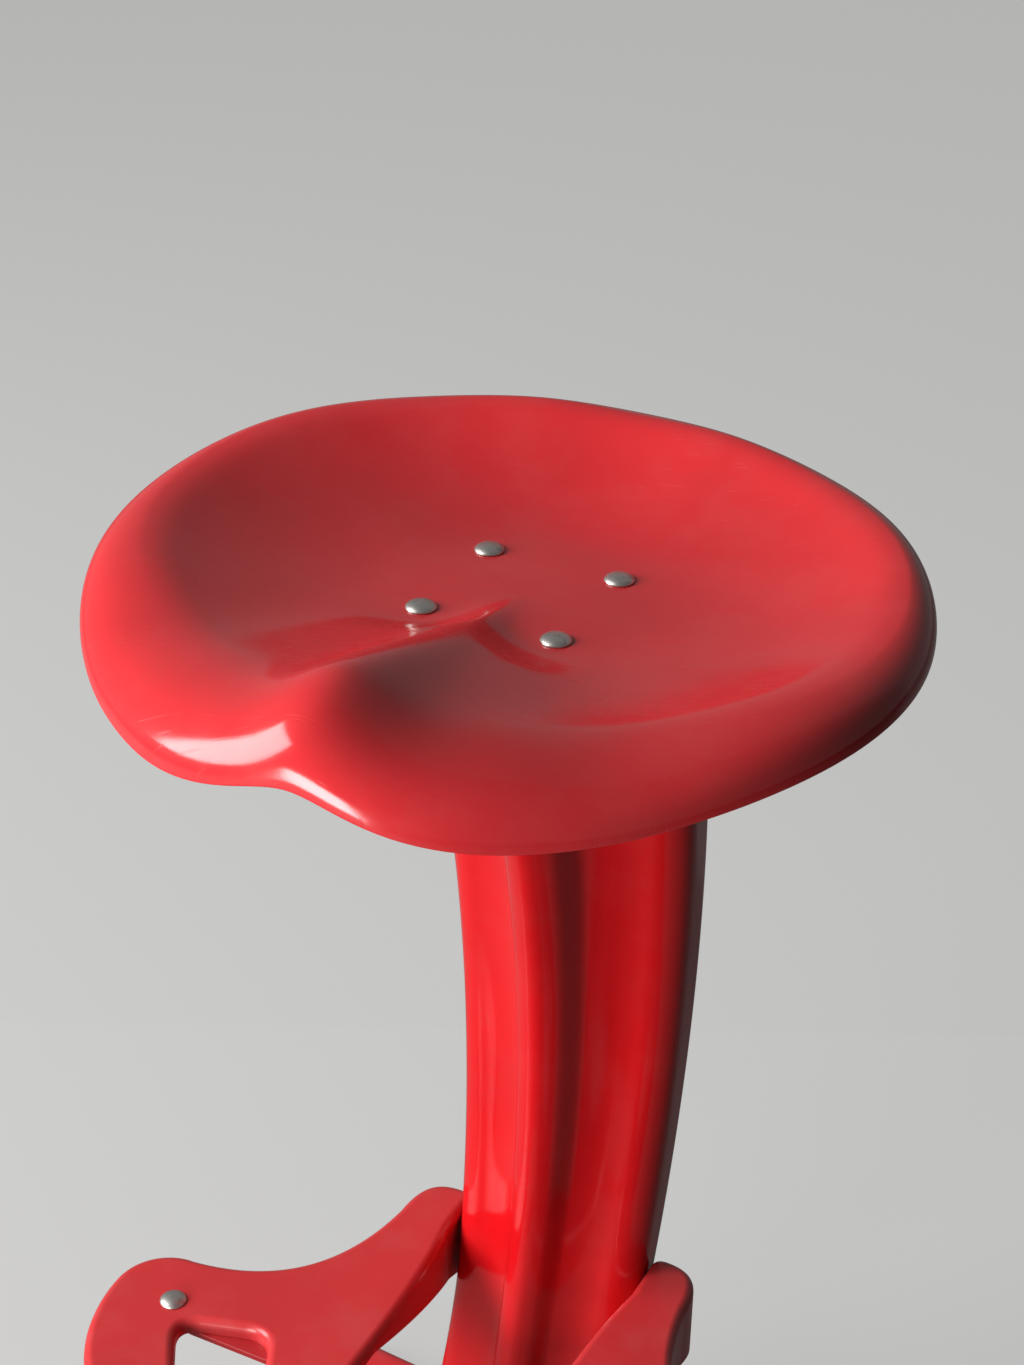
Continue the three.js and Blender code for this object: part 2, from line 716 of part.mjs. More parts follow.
// Everything above the trimmed lower edge: level at the wings and sloping down towards the stalk.
function skirtLimit() {
  const side = new THREE.Shape();
  const reach = wingWidth;
  const lipBottom = footrestHeight - lipDepth;
  const slope = (skirtAtStalk - lipDepth) / (levelSkirtStart + deepSkirtSetback);
  side.moveTo(ahead(reach), lipBottom);
  side.lineTo(ahead(levelSkirtStart), lipBottom);
  side.lineTo(ahead(-reach), lipBottom - slope * (levelSkirtStart + reach));
  side.lineTo(ahead(-reach), footrestHeight + reach);
  side.lineTo(ahead(reach), footrestHeight + reach);
  return sideProfile(side, -reach, reach);
}

function footrest() {
  const bottom = footrestHeight - 2 * skirtAtStalk;
  const outside = footrestOutline();
  outside.holes.push(windowOutline(-1), windowOutline(1));
  const skin = rolledPrism(outside, bottom, footrestHeight, footrestRoll, edgeRollSteps);
  const hollow = rolledHollow(outside, bottom, footrestHeight, footrestRoll, footrestThickness,
    edgeRollSteps);
  const trimmed = keepInside(skin, skirtLimit());
  const necks = wingBoltPlaces().map(([x, y]) => block(neckSide + 2 * boltHoleGap, neckSide + 2 * boltHoleGap,
    2 * cutOverrun + footrestThickness, x, y, footrestHeight - footrestThickness / 2));
  const earHoles = earBoltPlaces().map(([side, y, z]) => crossDrill(2 * cutOverrun + footrestThickness,
    side * (earInner + footrestThickness / 2), y, z));
  return cut(trimmed, [hollow, ...necks, ...earHoles]);
}

// Tie bar: a flat bar whose ends step up to the underside of the wings
function tieBar() {
  const top = footrestHeight - footrestThickness - fitGap;
  const low = footrestHeight - lipDepth - fitGap;
  const end = wingBoltX + tiePad;
  const padEnd = wingBoltX - tiePad;
  const stepEnd = padEnd - tieJoggle;
  const side = new THREE.Shape();
  side.moveTo(-end, top);
  side.lineTo(-end, top - tieThickness);
  side.lineTo(-padEnd, top - tieThickness);
  side.lineTo(-stepEnd, low - tieThickness);
  side.lineTo(stepEnd, low - tieThickness);
  side.lineTo(padEnd, top - tieThickness);
  side.lineTo(end, top - tieThickness);
  side.lineTo(end, top);
  side.lineTo(padEnd, top);
  side.lineTo(stepEnd, low);
  side.lineTo(-stepEnd, low);
  side.lineTo(-padEnd, top);
  const bar = new THREE.ExtrudeGeometry(side, { depth: tieWidth, bevelEnabled: false });
  bar.rotateX(Math.PI / 2);
  bar.translate(0, ahead(wingBoltAhead) + tieWidth / 2, 0);
  const holes = wingBoltPlaces().map(([x, y]) => drill(boltDiameter / 2 + boltHoleGap,
    top - tieThickness - cutOverrun, top + cutOverrun, x, y));
  return cut(bar, holes);
}

// Base. Each lobe is round about a centre, and the edges between lobes are drawn in.
const lobeX = baseLobeSpacing / 2;
const lobeBackY = ahead(-baseBack + baseLobeRadius);
const lobeFrontY = ahead(baseFront - baseLobeRadius);

function lobePlaces() {
  return [[lobeX, lobeFrontY], [lobeX, lobeBackY], [-lobeX, lobeBackY], [-lobeX, lobeFrontY]];
}

function baseOutline() {
  const shape = new THREE.Shape();
  const lean = THREE.MathUtils.degToRad(lobeLeanDegrees);
  const at = (x, y, turn) => [x + baseLobeRadius * Math.cos(turn), y + baseLobeRadius * Math.sin(turn)];
  const middleY = (lobeBackY + lobeFrontY) / 2;
  const waist = lobeX + baseLobeRadius - baseWaistIn;
  shape.moveTo(...at(lobeX, lobeFrontY, -Math.PI / 2 - lean));
  shape.absarc(lobeX, lobeFrontY, baseLobeRadius, -Math.PI / 2 - lean, lean);
  shape.quadraticCurveTo(waist, middleY, ...at(lobeX, lobeBackY, -lean));
  shape.absarc(lobeX, lobeBackY, baseLobeRadius, -lean, Math.PI / 2 + lean);
  shape.quadraticCurveTo(0, ahead(-baseBack + baseBackIn), ...at(-lobeX, lobeBackY, Math.PI / 2 - lean));
  shape.absarc(-lobeX, lobeBackY, baseLobeRadius, Math.PI / 2 - lean, Math.PI + lean);
  shape.quadraticCurveTo(-waist, middleY, ...at(-lobeX, lobeFrontY, Math.PI - lean));
  shape.absarc(-lobeX, lobeFrontY, baseLobeRadius, Math.PI - lean, 1.5 * Math.PI + lean);
  shape.quadraticCurveTo(0, ahead(baseFront - baseFrontIn), ...at(lobeX, lobeFrontY, -Math.PI / 2 - lean));
  return shape;
}

function footBoltPlaces() {
  const half = footBoltSpacing / 2;
  return [[-half, ahead(footBoltFront)], [half, ahead(footBoltFront)],
    [half, ahead(-footBoltBack)], [-half, ahead(-footBoltBack)]];
}

function baseShell() {
  const outline = baseOutline();
  const bossOutline = roundedRectangle(-bossWidth / 2, bossWidth / 2, ahead(bossFront), ahead(-bossBack),
    bossCorner);
  const boss = rolledPrism(bossOutline, baseClearance, bossTop, bossSlope, 1);
  const outside = join([rolledPrism(outline, baseClearance, baseTopHeight, baseRoll, edgeRollSteps), boss]);
  const inside = baseClearance - cutOverrun;
  const hollows = [rolledHollow(outline, inside, baseTopHeight, baseRoll, baseThickness, edgeRollSteps),
    rolledHollow(bossOutline, inside, bossTop, bossSlope, baseThickness, 1)];
  const holes = footBoltPlaces().map(([x, y]) => drill(boltDiameter / 2 + boltHoleGap,
    bossTop - bossHeight, bossTop + cutOverrun, x, y));
  return cut(outside, [...hollows, ...holes]);
}

// Foot plate: welded under the stalk and bolted to the base
function footPlate() {
  const bottom = bossTop + fitGap;
  const outline = roundedRectangle(-footPlateWidth / 2, footPlateWidth / 2, ahead(footPlateFront),
    ahead(-footPlateBack), footPlateCorner);
  const holes = footBoltPlaces().map(([x, y]) => block(neckSide + 2 * boltHoleGap, neckSide + 2 * boltHoleGap,
    2 * cutOverrun + footPlateThickness, x, y, bottom + footPlateThickness / 2));
  return cut(prism(outline, bottom, footPlateTop), holes);
}

// A glide is a bent block with a slot for the lower edge of the lobe
function glide(x, y, middle) {
  const half = THREE.MathUtils.degToRad(glideSweepDegrees) / 2;
  const sector = (inner, outer) => {
    const shape = new THREE.Shape();
    shape.absarc(x, y, outer, middle - half, middle + half);
    shape.absarc(x, y, inner, middle + half, middle - half, true);
    return shape;
  };
  const sheetInner = baseLobeRadius - baseThickness;
  const body = prism(sector(sheetInner - glideInnerWall, baseLobeRadius + glideOuterWall), 0, glideHeight);
  const slot = new THREE.Shape();
  const past = THREE.MathUtils.degToRad(glideSlotPastDegrees);
  slot.absarc(x, y, baseLobeRadius + glideSlotGap, middle - half - past, middle + half + past);
  slot.absarc(x, y, sheetInner - glideSlotGap, middle + half + past, middle - half - past, true);
  return cut(body, [prism(slot, baseClearance - fitGap, glideHeight + cutOverrun)]);
}

addPiece('seat_pan', seatPan(), redPaint);
addPiece('seat_bracket', seatBracket(), innerPaint);
addPiece('stalk', stalk(), redPaint);
addPiece('footrest', footrest(), redPaint);
addPiece('footrest_tie_bar', tieBar(), innerPaint);
addPiece('base_shell', baseShell(), redPaint);
addPiece('foot_plate', footPlate(), innerPaint);

const upright = new THREE.Euler(0, 0, 0);
seatBoltPlaces().forEach(([x, y], i) => {
  const clamped = panThickness + bracketThickness + fitGap;
  const place = new THREE.Vector3(x, y, panHeight + fitGap);
  fasten(`seat_${i + 1}`, carriageBolt(clamped, panThickness), place, upright, clamped);
});
wingBoltPlaces().forEach(([x, y], i) => {
  const clamped = footrestThickness + tieThickness + fitGap;
  const place = new THREE.Vector3(x, y, footrestHeight + fitGap);
  fasten(`wing_${i + 1}`, carriageBolt(clamped, footrestThickness), place, upright, clamped);
});
earBoltPlaces().forEach(([side, y, z], i) => {
  const washerReach = washerDiameter / 2;
  const narrowest = Math.min(stalkHalfWidth(z - washerReach), stalkHalfWidth(z + washerReach));
  const clamped = earInner + footrestThickness - narrowest + stalkThickness;
  const place = new THREE.Vector3(side * (earInner + footrestThickness + fitGap), y, z);
  const turn = new THREE.Euler(0, side * Math.PI / 2, 0);
  fasten(`ear_${i + 1}`, hexBolt(clamped), place, turn, clamped);
});
footBoltPlaces().forEach(([x, y], i) => {
  const clamped = footPlateThickness + baseThickness + fitGap;
  const place = new THREE.Vector3(x, y, footPlateTop + fitGap);
  fasten(`foot_${i + 1}`, carriageBolt(clamped, footPlateThickness), place, upright, clamped);
});
lobePlaces().forEach(([x, y], i) => {
  const middle = Math.atan2(y - (lobeBackY + lobeFrontY) / 2, x);
  addPiece(`glide_${i + 1}`, glide(x, y, middle), blackRubber);
});

export default bodies;
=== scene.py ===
import json
import math
import bmesh
import bpy
import numpy as np
from mathutils import Matrix, Vector

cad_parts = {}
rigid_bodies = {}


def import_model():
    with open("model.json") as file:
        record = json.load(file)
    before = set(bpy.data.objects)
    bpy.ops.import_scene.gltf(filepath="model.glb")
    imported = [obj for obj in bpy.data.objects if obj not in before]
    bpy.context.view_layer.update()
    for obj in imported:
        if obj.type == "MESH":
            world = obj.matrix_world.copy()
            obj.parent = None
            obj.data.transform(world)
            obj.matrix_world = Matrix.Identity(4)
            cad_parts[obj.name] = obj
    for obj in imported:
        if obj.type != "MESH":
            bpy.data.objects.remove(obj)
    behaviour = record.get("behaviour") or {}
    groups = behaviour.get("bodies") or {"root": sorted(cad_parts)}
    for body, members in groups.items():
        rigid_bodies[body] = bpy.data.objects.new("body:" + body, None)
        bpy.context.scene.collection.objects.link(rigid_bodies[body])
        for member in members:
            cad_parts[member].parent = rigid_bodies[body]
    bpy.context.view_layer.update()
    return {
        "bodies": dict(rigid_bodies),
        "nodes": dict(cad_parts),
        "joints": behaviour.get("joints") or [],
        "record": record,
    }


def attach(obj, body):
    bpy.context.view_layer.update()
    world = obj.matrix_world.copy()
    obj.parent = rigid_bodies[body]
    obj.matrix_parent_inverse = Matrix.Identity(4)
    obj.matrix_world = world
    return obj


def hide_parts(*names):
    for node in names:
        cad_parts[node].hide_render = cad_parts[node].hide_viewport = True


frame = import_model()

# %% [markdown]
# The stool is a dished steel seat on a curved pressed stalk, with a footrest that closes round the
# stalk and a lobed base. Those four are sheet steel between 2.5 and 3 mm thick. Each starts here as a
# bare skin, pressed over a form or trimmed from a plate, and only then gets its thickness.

MM = 0.001
FIT_GAP = 0.3
PAN_HEIGHT = 700
SEAT_SETBACK = 33.9
RED_SHEET = 2.5
EDGE_BREAK = 0.7
BREAK_TURN = math.radians(60)


def ahead(distance):
    """The y of a point that lies so far in front of the middle of the seat's bolts, in mm."""
    return SEAT_SETBACK - distance


print("frame nodes:", len(frame))

# %% [markdown]
# ## The camera
# It looks down at the stool from its front and right. Its place and turn were worked out from the
# square of bolts and from level and upright lines, so they are numbers and not aimed by eye.

# %% Camera
VIEW_TURN = math.radians(26.18)
VIEW_FALL = math.radians(29.0)
VIEW_ROLL = math.radians(1.0)
VIEW_PLACE = (0.488, -0.9681, 1.265)
FOCUS_PIXELS = 2400
LONG_SIDE_PIXELS = 1365
SENSOR = 36
flat_right = Vector((math.cos(VIEW_TURN), math.sin(VIEW_TURN), 0))
look = Vector((-math.sin(VIEW_TURN) * math.cos(VIEW_FALL), math.cos(VIEW_TURN) * math.cos(VIEW_FALL),
               -math.sin(VIEW_FALL)))
flat_up = flat_right.cross(look)
right = flat_right * math.cos(VIEW_ROLL) + flat_up * math.sin(VIEW_ROLL)
up = flat_up * math.cos(VIEW_ROLL) - flat_right * math.sin(VIEW_ROLL)
camera_data = bpy.data.cameras.new("camera")
camera_data.lens = FOCUS_PIXELS / LONG_SIDE_PIXELS * SENSOR
camera_data.sensor_fit = 'AUTO'
camera_data.sensor_width = SENSOR
camera_data.clip_start = 0.05
camera = bpy.data.objects.new("camera", camera_data)
aim = Matrix((right, up, -look)).transposed().to_4x4()
camera.matrix_world = Matrix.Translation(VIEW_PLACE) @ aim
bpy.context.scene.collection.objects.link(camera)
bpy.context.scene.camera = camera
print("camera lens", round(camera_data.lens, 2))

# %% [markdown]
# ## Shader maths
# A finish is a sum of patterns. Adding Math nodes one by one is hard to read, so a wire wraps a
# socket and lets the sum be written as a sum.

# %% Wires
class Wire:
    """An output socket of one material. Arithmetic on it adds Math nodes."""

    def __init__(self, tree, socket=None):
        self.tree = tree
        self.socket = socket

    def node(self, kind, settings=None, sockets=None, output=0):
        """Adds any node: its settings first, then the values or wires of its sockets."""
        made = self.tree.nodes.new(kind)
        for name, value in (settings or {}).items():
            setattr(made, name, value)
        for name, value in (sockets or {}).items():
            target = made.inputs[name]
            if isinstance(value, Wire):
                self.tree.links.new(value.socket, target)
            else:
                target.default_value = value
        return Wire(self.tree, made.outputs[output])

    def maths(self, operation, first, second):
        return self.node("ShaderNodeMath", {"operation": operation}, {0: first, 1: second})

    def __add__(self, other):
        return self.maths('ADD', self, other)

    __radd__ = __add__

    def __sub__(self, other):
        return self.maths('SUBTRACT', self, other)

    def __rsub__(self, other):
        return self.maths('SUBTRACT', other, self)

    def __mul__(self, other):
        return self.maths('MULTIPLY', self, other)

    __rmul__ = __mul__

    def between(self, low, high):
        """0 at low, 1 at high, smooth in between."""
        return self.node("ShaderNodeMapRange", {"interpolation_type": 'SMOOTHSTEP'},
                         {"Value": self, "From Min": low, "From Max": high})

    def blend(self, colour_a, colour_b):
        """A colour between two, with this wire as the share of the second."""
        made = self.tree.nodes.new("ShaderNodeMix")
        made.data_type = 'RGBA'
        for name, value in ((0, self), (6, colour_a), (7, colour_b)):
            if isinstance(value, Wire):
                self.tree.links.new(value.socket, made.inputs[name])
            else:
                made.inputs[name].default_value = value if name == 0 else (*value, 1)
        return Wire(self.tree, made.outputs[2])


def new_finish(name):
    """A new material with its shader and a wire that carries the object's coordinates."""
    material = bpy.data.materials.new(name)
    material.use_nodes = True
    tree = material.node_tree
    shader = tree.nodes["Principled BSDF"]
    place = Wire(tree).node("ShaderNodeTexCoord", output="Object")
    return material, shader, place


def connect(shader, name, value):
    if isinstance(value, Wire):
        value.tree.links.new(value.socket, shader.inputs[name])
    elif isinstance(value, tuple):
        shader.inputs[name].default_value = (*value, 1)
    else:
        shader.inputs[name].default_value = value


def noise(place, scale, detail=2.0, rough=0.5):
    return place.node("ShaderNodeTexNoise", {"noise_dimensions": '3D'},
                      {"Vector": place, "Scale": scale, "Detail": detail, "Roughness": rough}, "Fac")


def stretched(place, turn, stretch):
    return place.node("ShaderNodeMapping", {"vector_type": 'POINT'},
                      {"Vector": place, "Rotation": turn, "Scale": stretch})


# %% [markdown]
# ## Red powder coat
# The paint is an even red with a satin gloss. What makes it look real is small: a soft orange peel
# in the gloss, dust that lies on it, hair-fine scratches that show mostly in a highlight, and a few
# chips down to dark metal. On the footrest the pale dust film is heavier and also paints a pale sheen
# on its top. The seat is the most scratched and the stalk is the glossiest. All of it is noise in the
# object's own coordinates, because painted pictures would need each piece unwrapped.

# %% Red paint
DUST_AND_SHEEN = (0.55, 0.30, 0.27)
BARE_METAL = (0.02, 0.012, 0.012)
SCRATCH_TURNS = (0.5, -0.9, 1.9)
CHIP_CELLS = 13
CHIP_REACH = (0.011, 0.015)


def red_coat(name, colour, gloss, dust_and_sheen, scratches, chips):
    """dust_and_sheen, scratches and chips say how much of each there is, and gloss is the roughness of clean
    paint. dust_and_sheen is real dust, and on the footrest it also paints a pale sheen.
    """
    material, shader, place = new_finish(name)
    drift = noise(place, 9, 3).between(0.3, 0.7)
    shade = drift.blend(tuple(0.94 * c for c in colour), tuple(min(1, 1.04 * c) for c in colour))
    # A pale film and fine specks of dust. On the footrest the film also paints a pale sheen.
    dust_and_sheen_film = noise(place, 26, 4, 0.6).between(0.42, 0.72) * dust_and_sheen
    specks = noise(place, 900, 2).between(0.735, 0.78) * dust_and_sheen
    dust_and_sheen_paint = (dust_and_sheen_film * 0.10 + specks * 0.5).blend(shade, DUST_AND_SHEEN)
    chip_edge = noise(place, 900, 2) * 0.008
    chip_cells = place.node("ShaderNodeTexVoronoi", {"feature": 'F1'},
                            {"Vector": place, "Scale": CHIP_CELLS, "Randomness": 1.0}, "Distance")
    chip_mask = (1 - (chip_cells + chip_edge).between(*CHIP_REACH)) * chips
    paint = chip_mask.blend(dust_and_sheen_paint, BARE_METAL)
    lines = 0.0
    for turn in SCRATCH_TURNS:
        run = stretched(place, (0, 0, turn), (30, 700, 30))
        lines = noise(run, 1.0, 1).between(0.70, 0.74) + lines
    roughness = gloss + dust_and_sheen_film * 0.10 + specks * 0.25 + lines * (0.10 * scratches) + chip_mask * 0.4
    peel = noise(place, 420, 2)
    height = peel * 0.35 + lines * (-0.35 * scratches) + chip_mask * -2.0
    bump = place.node("ShaderNodeBump", {}, {"Strength": 0.12, "Distance": 0.0002, "Height": height})
    connect(shader, "Base Color", paint)
    connect(shader, "Roughness", roughness)
    connect(shader, "Normal", bump)
    connect(shader, "Metallic", 0.0)
    connect(shader, "IOR", 1.5)
    return material


RED = (0.70, 0.028, 0.034)
seat_red = red_coat("seat_red", RED, 0.14, 0.35, 1.3, 0.9)
# The stalk's red is darker than the seat's, though it is the same paint: painted shade, because the stalk
# caught more light than the seat.
stalk_shaded_red = red_coat("stalk_shaded_red", (0.58, 0.006, 0.009), 0.12, 0.15, 0.4, 0.4)
# The footrest's heavy dust share is partly real dust and partly a painted pale sheen on its top.
footrest_red = red_coat("footrest_red", (0.62, 0.034, 0.038), 0.28, 0.7, 0.12, 0.8)
base_red = red_coat("base_red", RED, 0.28, 1.0, 0.6, 1.0)
hidden_red = red_coat("hidden_red", (0.45, 0.018, 0.022), 0.34, 0.3, 0.3, 0.0)
print("red finishes:", [finish.name for finish in (seat_red, stalk_shaded_red, footrest_red, base_red, hidden_red)])

# %% [markdown]
# ## Steel and rubber
# The bolt heads are satin steel that has dulled: cloudy stains darken it and fine brushed lines break
# its gloss. The nuts and washers are zinc plated, paler and less stained. The glides are black rubber
# with grey scuffs. The lines are noise that is stretched one way, the rest is plain noise.

# %% Steel and rubber
BRUSHED = (300, 2600, 900)


def steel(name, colour, gloss, grime):
    material, shader, place = new_finish(name)
    cloud = noise(place, 260, 4, 0.65)
    rub = noise(stretched(place, (0, 0, 0.6), BRUSHED), 1.0, 2)
    stain = cloud.between(0.45, 0.75) * grime
    tone = stain.blend(colour, tuple(0.45 * c for c in colour))
    connect(shader, "Base Color", tone)
    connect(shader, "Metallic", 1.0)
    connect(shader, "Roughness", gloss + stain * 0.2 + rub * 0.12)
    bump = place.node("ShaderNodeBump", {},
                      {"Strength": 0.2, "Distance": 0.00008, "Height": rub + cloud * 1.5})
    connect(shader, "Normal", bump)
    return material


def rubber(name):
    material, shader, place = new_finish(name)
    grain = noise(place, 700, 3)
    scuff = noise(place, 60, 4).between(0.5, 0.8)
    connect(shader, "Base Color", scuff.blend((0.018, 0.018, 0.019), (0.06, 0.058, 0.055)))
    connect(shader, "Roughness", 0.62 + scuff * 0.2)
    bump = place.node("ShaderNodeBump", {}, {"Strength": 0.3, "Distance": 0.0002, "Height": grain})
    connect(shader, "Normal", bump)
    return material


bolt_steel = steel("bolt_steel", (0.52, 0.50, 0.47), 0.36, 0.7)
zinc_steel = steel("zinc_steel", (0.62, 0.62, 0.61), 0.34, 0.5)
glide_rubber = rubber("glide_rubber")
print("metal and rubber finishes:", [finish.name for finish in (bolt_steel, zinc_steel, glide_rubber)])

# %% [markdown]
# ## Tools of the workshop
# An operator works on whatever is selected, so every tool first lets go of everything else. A piece
# that is finished sits at the origin with its place in its mesh.

# %% Tools
def pick(piece):
    """Leaves edit mode and selects one piece alone."""
    if bpy.context.mode != 'OBJECT':
        bpy.ops.object.mode_set(mode='OBJECT')
    bpy.ops.object.select_all(action='DESELECT')
    piece.select_set(True)
    bpy.context.view_layer.objects.active = piece


def modify(piece, kind, **settings):
    """Adds a modifier and applies it at once."""
    pick(piece)
    made = piece.modifiers.new(kind.lower(), kind)
    for name, value in settings.items():
        setattr(made, name, value)
    bpy.ops.object.modifier_apply(modifier=made.name)


def settle(piece):
    """Puts a piece's place, turn and scale into its mesh."""
    pick(piece)
    bpy.ops.object.transform_apply(location=True, rotation=True, scale=True)


def tidy(piece, merge=0.01 * MM):
    """Merges doubles and turns the faces outwards."""
    pick(piece)
    bpy.ops.object.mode_set(mode='EDIT')
    bpy.ops.mesh.select_all(action='SELECT')
    bpy.ops.mesh.remove_doubles(threshold=merge)
    bpy.ops.mesh.normals_make_consistent(inside=False)
    bpy.ops.object.mode_set(mode='OBJECT')


def choose(piece, kind, test):
    """In edit mode: selects the faces or edges whose middle passes a test."""
    bpy.ops.mesh.select_mode(type=kind)
    form = bmesh.from_edit_mesh(piece.data)
    bpy.ops.mesh.select_all(action='DESELECT')
    parts = form.faces if kind == 'FACE' else form.edges
    for part in parts:
        middle = sum((v.co for v in part.verts), Vector()) / len(part.verts)
        if test(middle, part):
            part.select_set(True)
    bmesh.update_edit_mesh(piece.data)


def finish_piece(piece, nodes, finish, smooth=35):
    """Hangs a piece on the frame: smooth shading, its paint, and the CAD nodes that it replaces."""
    pick(piece)
    bpy.ops.object.shade_smooth_by_angle(angle=math.radians(smooth))
    piece.data.materials.clear()
    piece.data.materials.append(finish)
    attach(piece, "root")
    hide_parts(*nodes)
    places = np.array([vertex.co for vertex in piece.data.vertices])
    span = np.ptp(places, axis=0) / MM
    print(piece.name, len(piece.data.polygons), "faces,", span.round(1), "mm")


# %% [markdown]
# ## The seat pan
# The real pan is pressed in a die from a round blank. The same is done here: a flat disc of rings is
# drawn with the circle, extrude and resize tools, and then each point goes to where the die puts it.
# Modelling the bowl directly with curves was the other way, but then the rim, the bowl and the pommel
# would not run into each other in one smooth skin.

# %% The rim of the die
SEAT_WIDTH = 441
RIM_HEIGHT = 47
EDGE_FALL = 2
POMMEL_HEIGHT = 38.7
POMMEL_WIDTH = 85
POMMEL_TIP_WIDTH = 32
POMMEL_START = 2
POMMEL_SHARP_SHARE = 0.19
POMMEL_SHARPNESS = 3.3
POMMEL_GROWTH = 0.78
# Angle from the front, then shares of the half width for the edge's reach and the roll's reach, and
# shares of the rim's height for the crest's rise and the edge's rise. The reach passes 1 at the
# sides, so the finished seat is about 3 mm wider than SEAT_WIDTH.
RIM_SHARES = [(0, 1.068, 0.237, 0.167, 0.166), (12, 1.080, 0.241, 0.107, -0.083),
              (25, 1.061, 0.233, 0.245, -0.214), (42, 1.040, 0.212, 0.361, -0.142),
              (62, 1.029, 0.149, 0.517, 0.032), (85, 1.010, 0.092, 0.625, 0.222),
              (110, 0.933, 0.061, 0.834, 0.456), (135, 0.835, 0.069, 0.917, 0.539),
              (158, 0.752, 0.057, 0.995, 0.620), (180, 0.759, 0.085, 0.964, 0.581)]


def closed_spline(degrees, values):
    """A smooth closed curve through values at angles, as a function of the angle."""
    count = len(degrees)
    step = np.diff(np.append(degrees, degrees[0] + 360))
    slope = np.diff(np.append(values, values[0])) / step
    system = np.zeros((count, count))
    target = np.zeros(count)
    for i in range(count):
        before, after = step[i - 1], step[i]
        system[i, i - 1] += before
        system[i, i] += 2 * (before + after)
        system[i, (i + 1) % count] += after
        target[i] = 6 * (slope[i] - slope[i - 1])
    bend = np.linalg.solve(system, target)

    def value(degree):
        degree = (degree - degrees[0]) % 360 + degrees[0]
        i = int(np.searchsorted(degrees, degree, side='right')) - 1
        j = (i + 1) % count
        h = step[i]
        a = (degrees[i] + h - degree) / h
        b = 1 - a
        return a * values[i] + b * values[j] + ((a ** 3 - a) * bend[i] + (b ** 3 - b) * bend[j]) * h * h / 6

    return value


both_sides = np.array(RIM_SHARES + [(360 - row[0], *row[1:]) for row in reversed(RIM_SHARES[1:-1])])
edge_reach = closed_spline(both_sides[:, 0], SEAT_WIDTH / 2 * both_sides[:, 1])
roll_reach = closed_spline(both_sides[:, 0], SEAT_WIDTH / 2 * both_sides[:, 2])
crest_rise = closed_spline(both_sides[:, 0], RIM_HEIGHT * both_sides[:, 3])
edge_rise = closed_spline(both_sides[:, 0], RIM_HEIGHT * both_sides[:, 4])
print("edge's reach to the side", round(edge_reach(90.0), 1))

# %% The die
BOWL_FLAT = 58.5
STEEPEST_SHARE = 0.89
BOLT_PLACE = 38.5
BOLT_FLAT = 14
BOLT_FLAT_BLEND = 30


def smooth(share):
    """0 to 1 with a soft start and end."""
    share = min(1, max(0, share))
    return share * share * (3 - 2 * share)


def pommel_rise(x, forward):
    """The ridge starts amid the four bolts, runs out between the front two and is widest at the rim."""
    front = SEAT_WIDTH / 2 * (RIM_SHARES[0][1] - RIM_SHARES[0][2] / 2)
    along = min(1, max(0, (forward - POMMEL_START) / (front - POMMEL_START)))
    out = x / (POMMEL_TIP_WIDTH + (POMMEL_WIDTH - POMMEL_TIP_WIDTH) * along)
    sharp = POMMEL_SHARP_SHARE * math.exp(-((POMMEL_SHARPNESS * out) ** 2))
    round_part = (1 - POMMEL_SHARP_SHARE) * math.exp(-out ** 2)
    from_bolt = math.hypot(abs(x) - BOLT_PLACE, forward - BOLT_PLACE)
    beside_bolt = smooth((from_bolt - BOLT_FLAT) / BOLT_FLAT_BLEND)
    return POMMEL_HEIGHT * smooth(along) ** POMMEL_GROWTH * (sharp + round_part) * beside_bolt


def bowl_rise(reach, crest_reach):
    """Level under the bolts, steepening outwards, and level again at the crest."""
    out = max(0, (reach - BOWL_FLAT) / (crest_reach - BOWL_FLAT))
    if out < STEEPEST_SHARE:
        return out ** 2 / STEEPEST_SHARE
    return 1 - (1 - out) ** 2 / (1 - STEEPEST_SHARE)


def crest_point(degree):
    turn = math.radians(degree)
    reach = edge_reach(degree) - roll_reach(degree)
    return Vector((reach * math.sin(turn), -reach * math.cos(turn), crest_rise(degree)))


def die(share, degree):
    """Where a point of the blank goes: up to share 1 the bowl, up to 2 the rolled rim, then its edge."""
    crest = crest_point(degree)
    if share <= 1:
        x, y = crest.x * share, crest.y * share
        crest_reach = crest.xy.length
        return Vector((x, y, crest.z * bowl_rise(crest_reach * share, crest_reach) + pommel_rise(x, -y)))
    run = crest_point(degree + 0.5) - crest_point(degree - 0.5)
    outward = Vector((run.y, -run.x, 0)).normalized()
    top = crest.z + pommel_rise(crest.x, -crest.y)
    turn = min(1, share - 1) * math.pi / 2
    fall = (top - edge_rise(degree) - EDGE_FALL) * (1 - math.cos(turn)) + EDGE_FALL * max(0, share - 2)
    reach = roll_reach(degree) * math.sin(turn)
    return Vector((crest.x + outward.x * reach, crest.y + outward.y * reach, top - fall))


